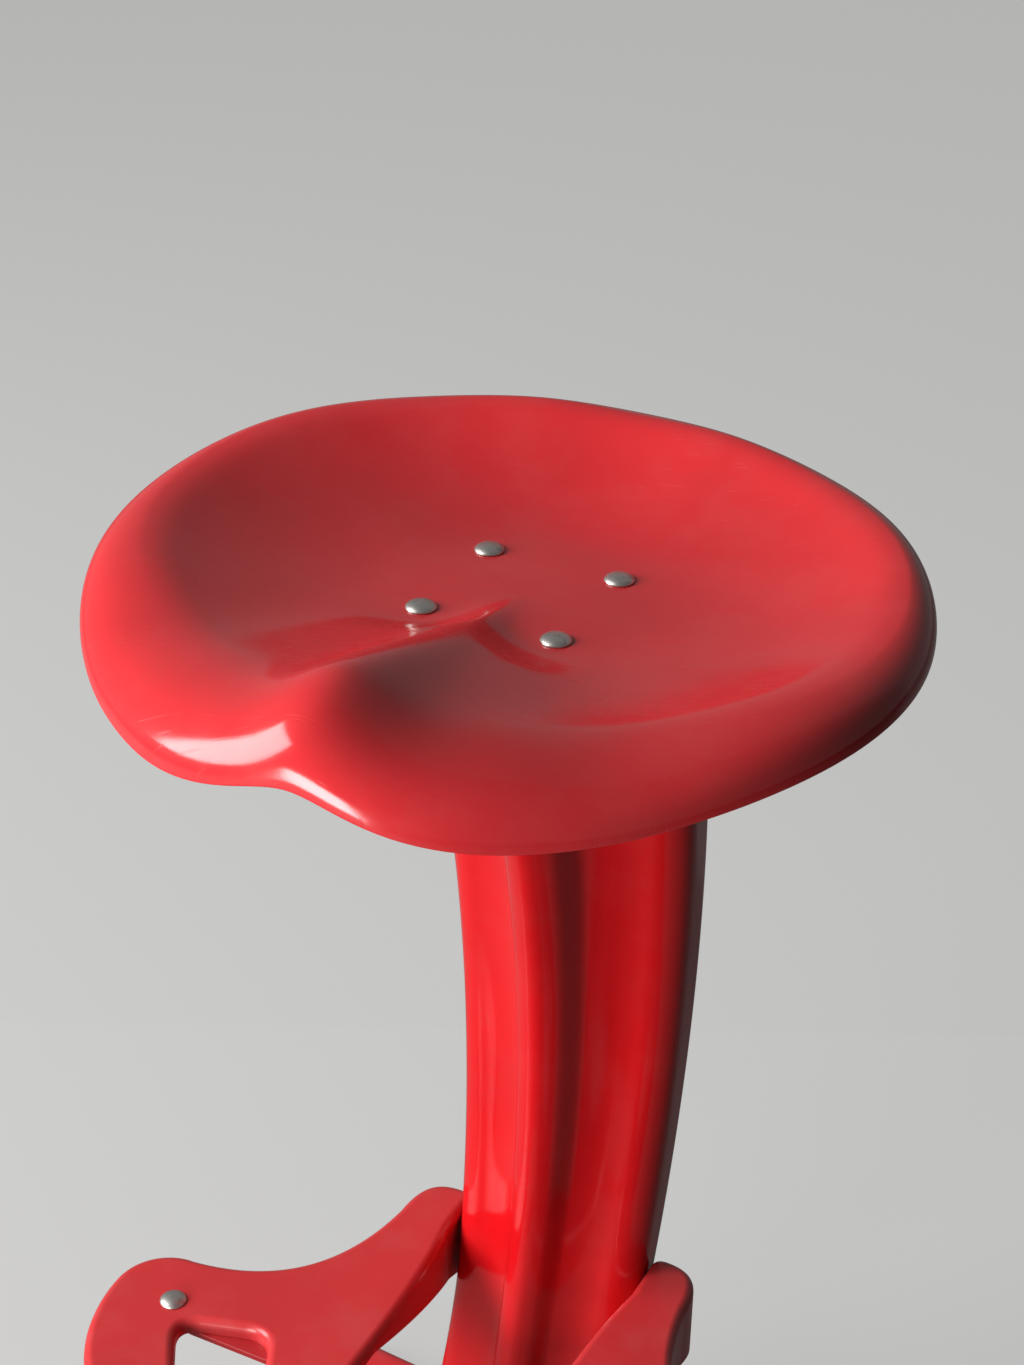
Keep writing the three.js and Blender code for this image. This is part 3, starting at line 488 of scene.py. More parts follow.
# %% The blank and the pressing
SEAT_STATIONS = 144
EDGE_SHARES = [3, 2.5, 2]
ROLL_SHARES = [1.92, 1.82, 1.72, 1.62, 1.52, 1.42, 1.32, 1.22, 1.12, 1.05, 1]
BOWL_SHARES = [0.965, 0.93, 0.89, 0.85, 0.80, 0.75, 0.69, 0.63, 0.56, 0.49, 0.42, 0.35, 0.28, 0.21,
               0.14, 0.07]
ring_shares = EDGE_SHARES + ROLL_SHARES + BOWL_SHARES
bpy.ops.object.select_all(action='DESELECT')
bpy.ops.mesh.primitive_circle_add(vertices=SEAT_STATIONS, radius=ring_shares[0], fill_type='NOTHING')
seat_pan = bpy.context.object
seat_pan.name = "seat_pan_sheet"
bpy.ops.object.mode_set(mode='EDIT')
bpy.ops.mesh.select_all(action='SELECT')
for outer, inner in zip(ring_shares, ring_shares[1:]):
    bpy.ops.mesh.extrude_edges_move()
    bpy.ops.transform.resize(value=(inner / outer, inner / outer, 1), center_override=(0, 0, 0))
bpy.ops.mesh.extrude_edges_move()
bpy.ops.mesh.merge(type='CENTER')
bpy.ops.object.mode_set(mode='OBJECT')
for vertex in seat_pan.data.vertices:
    share = math.hypot(vertex.co.x, vertex.co.y)
    degree = math.degrees(math.atan2(vertex.co.x, -vertex.co.y)) if share > 0.001 else 0
    pressed = die(share, degree)
    vertex.co = Vector((pressed.x, pressed.y + SEAT_SETBACK, pressed.z + PAN_HEIGHT)) * MM
tidy(seat_pan)
lowest = min(seat_pan.data.polygons, key=lambda face: face.center.xy.length)
if lowest.normal.z < 0:
    seat_pan.data.flip_normals()
modify(seat_pan, 'SOLIDIFY', thickness=RED_SHEET * MM, offset=-1, use_even_offset=True)
modify(seat_pan, 'BEVEL', width=EDGE_BREAK * MM, segments=2, limit_method='ANGLE', angle_limit=BREAK_TURN)
modify(seat_pan, 'SUBSURF', levels=1, render_levels=1)
finish_piece(seat_pan, ["seat_pan"], seat_red, smooth=60)

# %% [markdown]
# ## The stalk
# The stalk is a channel pressed from 3 mm sheet. A rib stands forward down its middle, with a rounded
# crest, a short steep wall on each side and a foot that spreads until it is nearly level. Wide round
# corners turn back into the side walls. It stands on a long arc and tapers down to a waist, and the
# rib grows lower and narrower down to there. A flat grid pressed over a form is again the plain way.

# %% The form of the stalk
STALK_ARC = 860
STALK_APEX_HEIGHT = 380
STALK_APEX_SETBACK = 67
STALK_TOP_WIDTH = 173
STALK_WAIST_WIDTH = 124
STALK_WAIST_HEIGHT = 165
STALK_FOOT_WIDTH = 132
STALK_DEPTH = 32
STALK_SHEET = 3
STALK_CORNER = 21
STRIP_AHEAD = 5.4
RIB_WAIST_HEIGHT = 30.6
RIB_GROWTH = 26
# How steep the rib's flank is, as a slope, at shares of the way from its crest to the stalk's corner
RIB_SLOPES = [(0, 0), (0.1, 0.36), (0.26, 0.8), (0.31, 2.1), (0.37, 2.1), (0.43, 0.65), (0.6, 0.38),
              (0.8, 0.21), (1, 0.06)]
BASE_TOP = 26
BOSS_HEIGHT = 16
FOOT_PLATE = 6
BRACKET = 5
STALK_BOTTOM = BASE_TOP + BOSS_HEIGHT + FIT_GAP + FOOT_PLATE + FIT_GAP
STALK_TOP = PAN_HEIGHT - RED_SHEET - FIT_GAP - BRACKET - FIT_GAP


def stalk_front(height):
    """The y of the arc that the stalk stands on."""
    offset = height - STALK_APEX_HEIGHT
    return ahead(STALK_ARC - math.sqrt(STALK_ARC ** 2 - offset ** 2) - STALK_APEX_SETBACK)


def behind_stalk_front(distance, height):
    """The y of a point that lies so far behind the arc, square to it."""
    tilt = math.asin((height - STALK_APEX_HEIGHT) / STALK_ARC)
    return stalk_front(height) + distance / math.cos(tilt)


def stalk_half_width(height):
    if height > STALK_WAIST_HEIGHT:
        share = (height - STALK_WAIST_HEIGHT) / (STALK_TOP - STALK_WAIST_HEIGHT)
        return (STALK_WAIST_WIDTH + (STALK_TOP_WIDTH - STALK_WAIST_WIDTH) * share) / 2
    share = (STALK_WAIST_HEIGHT - height) / (STALK_WAIST_HEIGHT - STALK_BOTTOM)
    return (STALK_WAIST_WIDTH + (STALK_FOOT_WIDTH - STALK_WAIST_WIDTH) * share ** 2) / 2


def rib_height(height):
    share = max(0, (height - STALK_WAIST_HEIGHT) / (STALK_TOP - STALK_WAIST_HEIGHT))
    return RIB_WAIST_HEIGHT + RIB_GROWTH * share ** 2


def fallen(share):
    """How far the flank has fallen at a share of its width, in widths: the slopes' sum up to there."""
    total = 0
    for (start, slope), (end, next_slope) in zip(RIB_SLOPES, RIB_SLOPES[1:]):
        part = min(1, max(0, (share - start) / (end - start)))
        total += (end - start) * (slope * part + (next_slope - slope) * part ** 2 / 2)
    return total


RIB_STEPS = 30
CORNER_STEPS = 10
WALL_STEPS = 3


def half_section(height):
    """Points from the rib's crest to the rear edge of the wall: across, and how far back."""
    half = stalk_half_width(height)
    strip_end = half - STALK_CORNER
    points = []
    for i in range(RIB_STEPS):
        share = i / RIB_STEPS
        left = 1 - fallen(share) / fallen(1)
        points.append((strip_end * share, -STRIP_AHEAD - rib_height(height) * left))
    for i in range(CORNER_STEPS):
        turn = i / CORNER_STEPS * math.pi / 2
        points.append((strip_end + STALK_CORNER * math.sin(turn),
                       STALK_CORNER * (1 - math.cos(turn)) - STRIP_AHEAD))
    wall = STALK_CORNER - STRIP_AHEAD
    for i in range(WALL_STEPS + 1):
        points.append((half, wall + (STALK_DEPTH - wall) * i / WALL_STEPS))
    return points


print("rib's height at the waist and the top:", rib_height(STALK_WAIST_HEIGHT), rib_height(STALK_TOP))

# %% Pressing the stalk
STALK_ROWS = 56
half_count = RIB_STEPS + CORNER_STEPS + WALL_STEPS
bpy.ops.object.select_all(action='DESELECT')
bpy.ops.mesh.primitive_grid_add(x_subdivisions=2 * half_count, y_subdivisions=STALK_ROWS, size=2)
stalk = bpy.context.object
stalk.name = "stalk_sheet"
for vertex in stalk.data.vertices:
    column = round(vertex.co.x * half_count)
    height = STALK_BOTTOM + (STALK_TOP - STALK_BOTTOM) * (vertex.co.y + 1) / 2
    across, back = half_section(height)[abs(column)]
    side = 1 if column >= 0 else -1
    vertex.co = Vector((side * across, behind_stalk_front(back, height), height)) * MM
tidy(stalk)
front = min(stalk.data.polygons, key=lambda face: face.center.y)
if front.normal.y > 0:
    stalk.data.flip_normals()
modify(stalk, 'SOLIDIFY', thickness=STALK_SHEET * MM, offset=-1, use_even_offset=True)
modify(stalk, 'BEVEL', width=EDGE_BREAK * MM, segments=2, limit_method='ANGLE', angle_limit=BREAK_TURN)
modify(stalk, 'SUBSURF', levels=1, render_levels=1)
finish_piece(stalk, ["stalk"], stalk_shaded_red, smooth=60)

# %% [markdown]
# ## Flat pressed plates
# The footrest and the base are flat plates with rolled edges. A flat filled curve is the quickest
# way to such a plate, because its bevel rolls the edge of every outline and window at once.

# %% Outlines and plates
SAME_POINT = 0.01
PLATE_MERGE = 0.02 * MM


def bezier(start, near_start, near_end, end, steps=12):
    """Points along a Bezier curve, without its last point."""
    points = []
    for i in range(steps):
        t = i / steps
        weights = ((1 - t) ** 3, 3 * t * (1 - t) ** 2, 3 * t * t * (1 - t), t ** 3)
        points.append(tuple(sum(w * p[k] for w, p in zip(weights, (start, near_start, near_end, end)))
                            for k in (0, 1)))
    return points


def quadratic(start, middle, end, steps=12):
    """A curve that leaves the start and reaches the end on lines through the middle point."""
    pull = 2 / 3
    near_start = tuple(a + (b - a) * pull for a, b in zip(start, middle))
    near_end = tuple(a + (b - a) * pull for a, b in zip(end, middle))
    return bezier(start, near_start, near_end, end, steps)


def arc(x, y, radius, first, last, steps=12):
    turns = [math.radians(first + (last - first) * i / steps) for i in range(steps + 1)]
    return [(x + radius * math.cos(turn), y + radius * math.sin(turn)) for turn in turns]


def rounded_box(left, right, low, high, radius, steps=12):
    return (arc(right - radius, low + radius, radius, -90, 0, steps)
            + arc(right - radius, high - radius, radius, 0, 90, steps)
            + arc(left + radius, high - radius, radius, 90, 180, steps)
            + arc(left + radius, low + radius, radius, 180, 270, steps))


def centred_box(half_width, half_length, setback, corner, steps=12):
    """A rounded box about a point that lies so far behind the middle of the seat's bolts."""
    return rounded_box(-half_width, half_width, ahead(half_length - setback),
                       ahead(-half_length - setback), corner, steps)


def toward(start, end, distance):
    share = distance / math.dist(start, end)
    return tuple(a + (b - a) * share for a, b in zip(start, end))


def rounded_polygon(corners, round_off, steps=12):
    points = []
    for i, corner in enumerate(corners):
        before, after = corners[i - 1], corners[(i + 1) % len(corners)]
        round_end = toward(corner, after, round_off)
        points += quadratic(toward(corner, before, round_off), corner, round_end, steps)
        points.append(round_end)
    return points


def flat_plate(name, outlines, bottom, top, roll, roll_steps):
    """A solid plate between two heights with all its edges rolled to a radius."""
    curve = bpy.data.curves.new(name, 'CURVE')
    curve.dimensions = '2D'
    curve.fill_mode = 'BOTH'
    for points in outlines:
        spline = curve.splines.new('POLY')
        kept = [p for p, q in zip(points, points[-1:] + points[:-1]) if math.dist(p, q) > SAME_POINT]
        spline.points.add(len(kept) - 1)
        for target, (x, y) in zip(spline.points, kept):
            target.co = (x * MM, y * MM, 0, 1)
        spline.use_cyclic_u = True
    curve.bevel_depth = roll * MM
    curve.bevel_resolution = roll_steps
    curve.offset = -roll * MM
    curve.extrude = (top - bottom) / 2 * MM - roll * MM
    plate = bpy.data.objects.new(name, curve)
    bpy.context.scene.collection.objects.link(plate)
    pick(plate)
    bpy.ops.object.convert(target='MESH')
    plate = bpy.context.object
    plate.location.z = (top + bottom) / 2 * MM
    settle(plate)
    tidy(plate, PLATE_MERGE)
    return plate


# %% [markdown]
# ## The footrest
# One plate makes two wings with a window each and two ears that close round the stalk. Its skirt is
# shallow at the wings and deep at the ears, so the plate is made deep all round and then trimmed.

# %% The outline of the footrest
FOOTREST_HEIGHT = 210
FOOTREST_ROLL = 6
ARM_INNER = 56
ARM_WIDTH = 46
ARM_OUTER = ARM_INNER + ARM_WIDTH
WING_HALF = 227
WING_BACK = 58
WING_FRONT = 197
WING_STRIP = 48
WING_CORNER = 35
GAP_CORNER = 24
WING_BOLT_X = WING_HALF - 44
WING_BOLT_AHEAD = 96
WINDOW_ROUND = 16
EAR_BOLTS_DOWN = (15, 34)
EAR_BOLT_BEHIND = 19.8
EAR_WIDTH = 36
EAR_CORNER = 9
SKIRT_AT_STALK = 47
SKIRT_LEVEL_START = 68
SKIRT_DEEP_SETBACK = 44.7
LIP_DEPTH = 10
FOOTREST_BLANK_DEPTH = 90
FOOTREST_BREAK = 0.6
EAR_END_MARGIN = 12.8
NECK_PULL_SHARES = (0.125, 0.083)
WING_PULL_SHARES = (0.5, 0.86)
SIDE_PULL_SHARE = 2.4
FRONT_END_SHARE = 0.9
# Corners as shares from the arm's inner edge to the wing bolt, and from the wing's back to its front
WINDOW_SHARES = [(0.924, 0.358), (0.483, 0.232), (0.252, 0.655), (0.724, 0.655)]
EAR_INNER = stalk_half_width(FOOTREST_HEIGHT) + FIT_GAP
EAR_OUTER = EAR_INNER + EAR_WIDTH
ear_bolt_y = [behind_stalk_front(EAR_BOLT_BEHIND, FOOTREST_HEIGHT - drop) for drop in EAR_BOLTS_DOWN]
EAR_BACK_Y = max(ear_bolt_y) + EAR_END_MARGIN
EAR_NECK_Y = EAR_BACK_Y - EAR_WIDTH


def right_half():
    """The outline's right half: round the ear and the wing, and then the gap's edge, mm."""
    ear_corner = (EAR_INNER, EAR_BACK_Y - EAR_CORNER)
    wing_side = (WING_HALF, ahead(WING_BACK + WING_CORNER))
    front_end = (ARM_OUTER + WING_CORNER * FRONT_END_SHARE, ahead(WING_FRONT))
    neck_pull = (EAR_OUTER + ARM_WIDTH * NECK_PULL_SHARES[0], ahead(WING_BACK * NECK_PULL_SHARES[1]))
    wing_pull = (ARM_OUTER + ARM_WIDTH * WING_PULL_SHARES[0], ahead(WING_BACK * WING_PULL_SHARES[1]))
    points = quadratic(ear_corner, (EAR_INNER, EAR_BACK_Y), (EAR_INNER + EAR_CORNER, EAR_BACK_Y))
    points += bezier((EAR_INNER + EAR_CORNER, EAR_BACK_Y), (EAR_OUTER - EAR_CORNER, EAR_BACK_Y),
                     (EAR_OUTER, EAR_BACK_Y - EAR_CORNER), (EAR_OUTER, EAR_NECK_Y), 24)
    points += bezier((EAR_OUTER, EAR_NECK_Y), neck_pull, wing_pull,
                     (WING_HALF - WING_CORNER, ahead(WING_BACK)), 36)
    points += arc(WING_HALF - WING_CORNER, ahead(WING_BACK + WING_CORNER), WING_CORNER, 90, 0, 20)
    points += bezier(wing_side, (WING_HALF, ahead(WING_BACK + WING_CORNER * SIDE_PULL_SHARE)),
                     (WING_HALF - WING_CORNER, ahead(WING_FRONT)), front_end, 30)
    points.append(front_end)
    inner = quadratic((EAR_INNER, EAR_NECK_Y), (ARM_INNER, ahead(0)), (ARM_INNER, ahead(WING_BACK)), 18)
    inner.append((ARM_INNER, ahead(WING_BACK)))
    inner += reversed(arc(ARM_INNER - GAP_CORNER, ahead(WING_FRONT - WING_STRIP - GAP_CORNER), GAP_CORNER,
                          -90, 0, 14))
    return points, inner


def between(low, high, share):
    return low + (high - low) * share


outer_half, inner_half = right_half()
outline = outer_half + [(-x, y) for x, y in reversed(outer_half)]
outline += [(-x, y) for x, y in inner_half] + list(reversed(inner_half))
window_corners = [(between(ARM_INNER, WING_BOLT_X, across), ahead(between(WING_BACK, WING_FRONT, forward)))
                  for across, forward in WINDOW_SHARES]
window = rounded_polygon(window_corners, WINDOW_ROUND)
windows = [window, [(-x, y) for x, y in reversed(window)]]
print("footrest outline points:", len(outline), "window:", len(window))

# %% The footrest's plate, trimmed and hollowed
footrest = flat_plate("footrest_sheet", [outline, *windows], FOOTREST_HEIGHT - FOOTREST_BLANK_DEPTH,
                      FOOTREST_HEIGHT, FOOTREST_ROLL, 5)
slope = (SKIRT_AT_STALK - LIP_DEPTH) / (SKIRT_LEVEL_START + SKIRT_DEEP_SETBACK)


def skirt_bottom(y):
    """The height in metres at which the skirt ends: level at the wings, falling to the ears."""
    distance = SEAT_SETBACK - y / MM
    return (FOOTREST_HEIGHT - LIP_DEPTH - slope * max(0, SKIRT_LEVEL_START - distance)) * MM


bpy.ops.object.mode_set(mode='EDIT')
for place, normal in (((0, ahead(SKIRT_LEVEL_START) * MM, 0), (0, 1, 0)),
                      ((0, 0, (FOOTREST_HEIGHT - LIP_DEPTH) * MM), (0, 0, 1)),
                      ((0, ahead(SKIRT_LEVEL_START) * MM, (FOOTREST_HEIGHT - LIP_DEPTH) * MM),
                       (0, slope, 1))):
    bpy.ops.mesh.select_all(action='SELECT')
    bpy.ops.mesh.bisect(plane_co=place, plane_no=normal, clear_inner=False, clear_outer=False)
choose(footrest, 'FACE', lambda middle, face: middle.z < skirt_bottom(middle.y) - SAME_POINT * MM)
bpy.ops.mesh.delete(type='FACE')
bpy.ops.object.mode_set(mode='OBJECT')
modify(footrest, 'SOLIDIFY', thickness=RED_SHEET * MM, offset=-1, use_even_offset=True)
modify(footrest, 'BEVEL', width=FOOTREST_BREAK * MM, segments=2, limit_method='ANGLE',
       angle_limit=BREAK_TURN)
finish_piece(footrest, ["footrest"], footrest_red, smooth=40)
modify(footrest, 'WEIGHTED_NORMAL', keep_sharp=True)

# %% [markdown]
# ## The base
# A low pressed shell with four lobes, and a raised boss in the middle that carries the stalk's foot
# plate. The plate gives the shell, and the boss is drawn up out of its top with extrude and resize.

# %% The base shell
LOBE_X = 168
LOBE_RADIUS = 34
BASE_FRONT = 190
BASE_SETBACK = 98
LOBE_BACK_Y = ahead(LOBE_RADIUS - BASE_SETBACK)
LOBE_FRONT_Y = ahead(BASE_FRONT - LOBE_RADIUS)
BASE_SHEET = 3
BASE_CLEARANCE = 6
BASE_ROLL = 10
BASE_BLANK_DEPTH = 40
LEAN = 20
SIDE_PULL = 46
REAR_PULL = 16
FRONT_PULL = 44
BOSS_HALF_WIDTH = 86
BOSS_HALF_LENGTH = 70
BOSS_SETBACK = 4
BOSS_HOLE_CORNER = 16


def on_lobe(x, y, degrees):
    turn = math.radians(degrees)
    return (x + LOBE_RADIUS * math.cos(turn), y + LOBE_RADIUS * math.sin(turn))


middle_y = (LOBE_BACK_Y + LOBE_FRONT_Y) / 2
waist_x = LOBE_X + LOBE_RADIUS - SIDE_PULL
# Each lobe's middle, where its quarter turn starts, and the point that pulls the side after it inwards
lobes = ((LOBE_X, LOBE_FRONT_Y, -90, (waist_x, middle_y)),
         (LOBE_X, LOBE_BACK_Y, 0, (0, ahead(REAR_PULL - BASE_SETBACK))),
         (-LOBE_X, LOBE_BACK_Y, 90, (-waist_x, middle_y)),
         (-LOBE_X, LOBE_FRONT_Y, 180, (0, ahead(BASE_FRONT - FRONT_PULL))))
base_outline = []
for k, (x, y, start, pull) in enumerate(lobes):
    next_x, next_y, next_start, _ = lobes[(k + 1) % 4]
    base_outline += arc(x, y, LOBE_RADIUS, start - LEAN, start + 90 + LEAN, 20)
    base_outline += quadratic(on_lobe(x, y, start + 90 + LEAN), pull,
                              on_lobe(next_x, next_y, next_start - LEAN), 16)[1:]
boss_hole = centred_box(BOSS_HALF_WIDTH - BASE_ROLL, BOSS_HALF_LENGTH - BASE_ROLL, BOSS_SETBACK,
                        BOSS_HOLE_CORNER, 8)
base_shell = flat_plate("base_sheet", [base_outline, boss_hole], BASE_CLEARANCE - BASE_BLANK_DEPTH,
                        BASE_TOP, BASE_ROLL, 5)
print("base outline points:", len(base_outline))

# %% Drawing the boss up out of the shell
BOSS_SLOPE = 16
BOSS_RINGS = 10
BELOW_EDGE = 17
HOLE_WALL_SLACK = 0.1
HOLE_EDGE_SLACK = 0.5
boss_middle_y = ahead(-BOSS_SETBACK)


def in_boss(middle, slack):
    """Whether a point in metres lies over the boss, with some slack, seen from above."""
    return (abs(middle.x) < (BOSS_HALF_WIDTH + slack) * MM
            and abs(middle.y - boss_middle_y * MM) < (BOSS_HALF_LENGTH + slack) * MM)


def in_hole_wall(middle, face):
    return in_boss(middle, HOLE_WALL_SLACK) and abs(face.normal.z) < 0.9999


bpy.ops.object.mode_set(mode='EDIT')
choose(base_shell, 'FACE', lambda middle, face: middle.z < (BASE_CLEARANCE - BELOW_EDGE) * MM)
bpy.ops.mesh.delete(type='FACE')
bpy.ops.mesh.select_all(action='SELECT')
bpy.ops.mesh.bisect(plane_co=(0, 0, BASE_CLEARANCE * MM), plane_no=(0, 0, 1), clear_inner=True)
choose(base_shell, 'FACE', in_hole_wall)
bpy.ops.mesh.delete(type='FACE')
choose(base_shell, 'EDGE', lambda middle, edge: edge.is_boundary and in_boss(middle, HOLE_EDGE_SLACK))
for i in range(BOSS_RINGS):
    before, after = i / BOSS_RINGS, (i + 1) / BOSS_RINGS
    sizes = [(half - BOSS_SLOPE * after) / (half - BOSS_SLOPE * before)
             for half in (BOSS_HALF_WIDTH, BOSS_HALF_LENGTH)]
    bpy.ops.mesh.extrude_edges_move()
    bpy.ops.transform.translate(value=(0, 0, BOSS_HEIGHT * (smooth(after) - smooth(before)) * MM))
    bpy.ops.transform.resize(value=(*sizes, 1), center_override=(0, boss_middle_y * MM, 0))
bpy.ops.mesh.edge_face_add()
bpy.ops.object.mode_set(mode='OBJECT')
tidy(base_shell)
highest = max(base_shell.data.polygons, key=lambda face: face.center.z)
if highest.normal.z < 0:
    base_shell.data.flip_normals()
modify(base_shell, 'SOLIDIFY', thickness=BASE_SHEET * MM, offset=-1)
finish_piece(base_shell, ["base_shell"], base_red, smooth=40)
modify(base_shell, 'WEIGHTED_NORMAL', keep_sharp=True)

# %% [markdown]
# ## Plates under the stalk and the seat
# The foot plate and the seat's bracket with its gussets are cut from plate. The tie bar under the
# wings is a flat bar, cranked up at its two ends. Their edges are only broken, so the same plate tool
# is used with a very small roll, and the gussets and the bar are drawn from the side and stood up.

# %% Foot plate, bracket and tie bar
EDGE = 0.8
FOOT_PLATE_HALF_WIDTH = 69
FOOT_PLATE_HALF_LENGTH = 53
FOOT_PLATE_CORNER = 12
BOSS_TOP = BASE_TOP + BOSS_HEIGHT
foot_plate_outline = centred_box(FOOT_PLATE_HALF_WIDTH, FOOT_PLATE_HALF_LENGTH, BOSS_SETBACK,
                                 FOOT_PLATE_CORNER)
foot_plate = flat_plate("foot_plate_sheet", [foot_plate_outline], BOSS_TOP + FIT_GAP,
                        BOSS_TOP + FIT_GAP + FOOT_PLATE, EDGE, 2)
finish_piece(foot_plate, ["foot_plate"], hidden_red)


def standing_plate(name, outline, middle, thickness):
    """A plate drawn in Y and Z, whose thickness runs along X."""
    plate = flat_plate(name, [outline], middle - thickness / 2, middle + thickness / 2, EDGE, 2)
    plate.data.transform(Matrix(((0, 0, 1, 0), (1, 0, 0, 0), (0, 1, 0, 0), (0, 0, 0, 1))))
    return plate


BRACKET_HALF_WIDTH = 90
BRACKET_HALF_LENGTH = 54
BRACKET_CORNER = 16
GUSSET_X = 59
GUSSET_SHEET = 5
GUSSET_DEPTH = 46
GUSSET_REACH = 44
GUSSET_NOSE = 8
WELD = 1
BRACKET_TOP = PAN_HEIGHT - RED_SHEET - FIT_GAP
bracket_low = BRACKET_TOP - BRACKET
gusset_low = bracket_low - GUSSET_DEPTH
bracket_outline = centred_box(BRACKET_HALF_WIDTH, BRACKET_HALF_LENGTH, 0, BRACKET_CORNER)
seat_bracket = flat_plate("seat_bracket_plate", [bracket_outline], bracket_low, BRACKET_TOP, EDGE, 2)
weld_top = stalk_front(bracket_low) - STRIP_AHEAD - WELD
weld_foot = stalk_front(gusset_low) - STRIP_AHEAD - WELD
gusset_outline = [(weld_top, bracket_low + WELD), (weld_foot, gusset_low),
                  (weld_foot - GUSSET_NOSE, gusset_low), (ahead(GUSSET_REACH), bracket_low - GUSSET_NOSE),
                  (ahead(GUSSET_REACH), bracket_low + WELD)]
gussets = [standing_plate("gusset", gusset_outline, side * GUSSET_X, GUSSET_SHEET) for side in (-1, 1)]
pick(seat_bracket)
for gusset in gussets:
    gusset.select_set(True)
bpy.ops.object.join()
finish_piece(seat_bracket, ["seat_bracket"], hidden_red)

TIE_THICKNESS = 4
TIE_WIDTH = 16
PAD_HALF = 10
PAD_RAMP = 6
tie_top = FOOTREST_HEIGHT - RED_SHEET - FIT_GAP
tie_low = FOOTREST_HEIGHT - LIP_DEPTH - FIT_GAP
pad_start, pad_end = WING_BOLT_X - PAD_HALF, WING_BOLT_X + PAD_HALF
right_edge = [(pad_start - PAD_RAMP, tie_low), (pad_start, tie_top), (pad_end, tie_top),
              (pad_end, tie_top - TIE_THICKNESS), (pad_start, tie_top - TIE_THICKNESS),
              (pad_start - PAD_RAMP, tie_low - TIE_THICKNESS)]
tie_outline = right_edge + [(-x, z) for x, z in reversed(right_edge)]
tie_bar = flat_plate("tie_bar_flat", [tie_outline], -TIE_WIDTH / 2, TIE_WIDTH / 2, EDGE, 2)
standing = Matrix.Rotation(math.pi / 2, 4, 'X')
tie_bar.data.transform(Matrix.Translation((0, ahead(WING_BOLT_AHEAD) * MM, 0)) @ standing)
finish_piece(tie_bar, ["footrest_tie_bar"], hidden_red)

# %% [markdown]
# ## Bolts, washers and nuts
# A carriage bolt is a turned part with a square neck, so its profile is spun round once. The seat, the
# wings and the foot have one pattern bolt each, and each place gets a copy with its own mesh. The
# ears' hex bolts are made one by one, because their length follows the stalk's taper.

# %% Turned parts
def turned_part(name, profile, steps=48):
    """Spins a profile of (radius, height) points, in mm, once round Z."""
    mesh = bpy.data.meshes.new(name)
    edges = [(i, i + 1) for i in range(len(profile) - 1)]
    mesh.from_pydata([(r * MM, 0, z * MM) for r, z in profile], edges, [])
    part = bpy.data.objects.new(name, mesh)
    bpy.context.scene.collection.objects.link(part)
    pick(part)
    bpy.ops.object.mode_set(mode='EDIT')
    bpy.ops.mesh.select_all(action='SELECT')
    bpy.ops.mesh.spin(steps=steps, angle=2 * math.pi, center=(0, 0, 0), axis=(0, 0, 1))
    bpy.ops.object.mode_set(mode='OBJECT')
    tidy(part)
    return part


def boxy(name, side, low, high, edge):
    """A square bar between two heights with its edges rounded."""
    bpy.ops.object.select_all(action='DESELECT')
    bpy.ops.mesh.primitive_cube_add(size=1, location=(0, 0, (low + high) / 2 * MM))
    block = bpy.context.object
    block.name = name
    block.scale = (side * MM, side * MM, (high - low) * MM)
    settle(block)
    modify(block, 'BEVEL', width=edge * MM, segments=3)
    return block


SHANK = 3.0
WASHER = 1.6
NUT = 5.0
BOLT_TIP = 2
HEAD_RADIUS = 8.25
HEAD_HEIGHT = 3.6
HEAD_RIM = 0.45
DOME_STEPS = 12
DOME_START = math.radians(12)
THREAD_PITCH = 1.0
THREAD_DEPTH = 0.45
THREAD_LENGTH = 12
TIP_DEPTH, TIP_CREST, TIP_TAPER, TIP_ROOT = 0.8, 0.1, 0.7, 1.2
UNTHREADED = 3
PLAIN_END = 0.5
NECK_SIDE, NECK_IN_HEAD, NECK_ROUND = 6.4, 0.4, 0.5


def bolt_length(clamped):
    return clamped + WASHER + NUT + BOLT_TIP + 3 * FIT_GAP


def shank_profile(length):
    """The threaded end, from its tip up to the head: a row of small grooves."""
    points = [(0, -length), (SHANK - TIP_DEPTH, -length), (SHANK - TIP_CREST, -length + TIP_TAPER)]
    z = -length + TIP_ROOT
    while z < -length + THREAD_LENGTH and z < -UNTHREADED:
        points += [(SHANK - THREAD_DEPTH, z), (SHANK, z + THREAD_PITCH / 2)]
        z += THREAD_PITCH
    points.append((SHANK, -PLAIN_END))
    return points


def carriage_bolt(name, clamped, neck):
    """A cup head on a rim, a square neck and a threaded shank."""
    start_sine = math.sin(DOME_START)
    dome = [(HEAD_RADIUS, 0.0), (HEAD_RADIUS, HEAD_RIM)]
    for i in range(1, DOME_STEPS):
        turn = DOME_START + (math.pi / 2 - DOME_START) * i / DOME_STEPS
        risen = (math.sin(turn) - start_sine) / (1 - start_sine)
        dome.append((HEAD_RADIUS * math.cos(turn) / math.cos(DOME_START),
                     HEAD_RIM + (HEAD_HEIGHT - HEAD_RIM) * risen))
    dome.append((0, HEAD_HEIGHT))
    bolt = turned_part(name, shank_profile(bolt_length(clamped)) + [(SHANK, 0)] + dome)
    square = boxy("neck", NECK_SIDE, -neck, NECK_IN_HEAD, NECK_ROUND)
    modify(bolt, 'BOOLEAN', object=square, operation='UNION', solver='EXACT')
    bpy.data.objects.remove(square)
    return bolt


HEX_REACH = 10 / math.sqrt(3)
HEX_FACE = 4.85
HEX_CHAMFER = 0.55
HEX_SPARE = 0.02
BORE_CHAMFER = 0.6
HEX_HEAD = 4
OVERRUN = 1


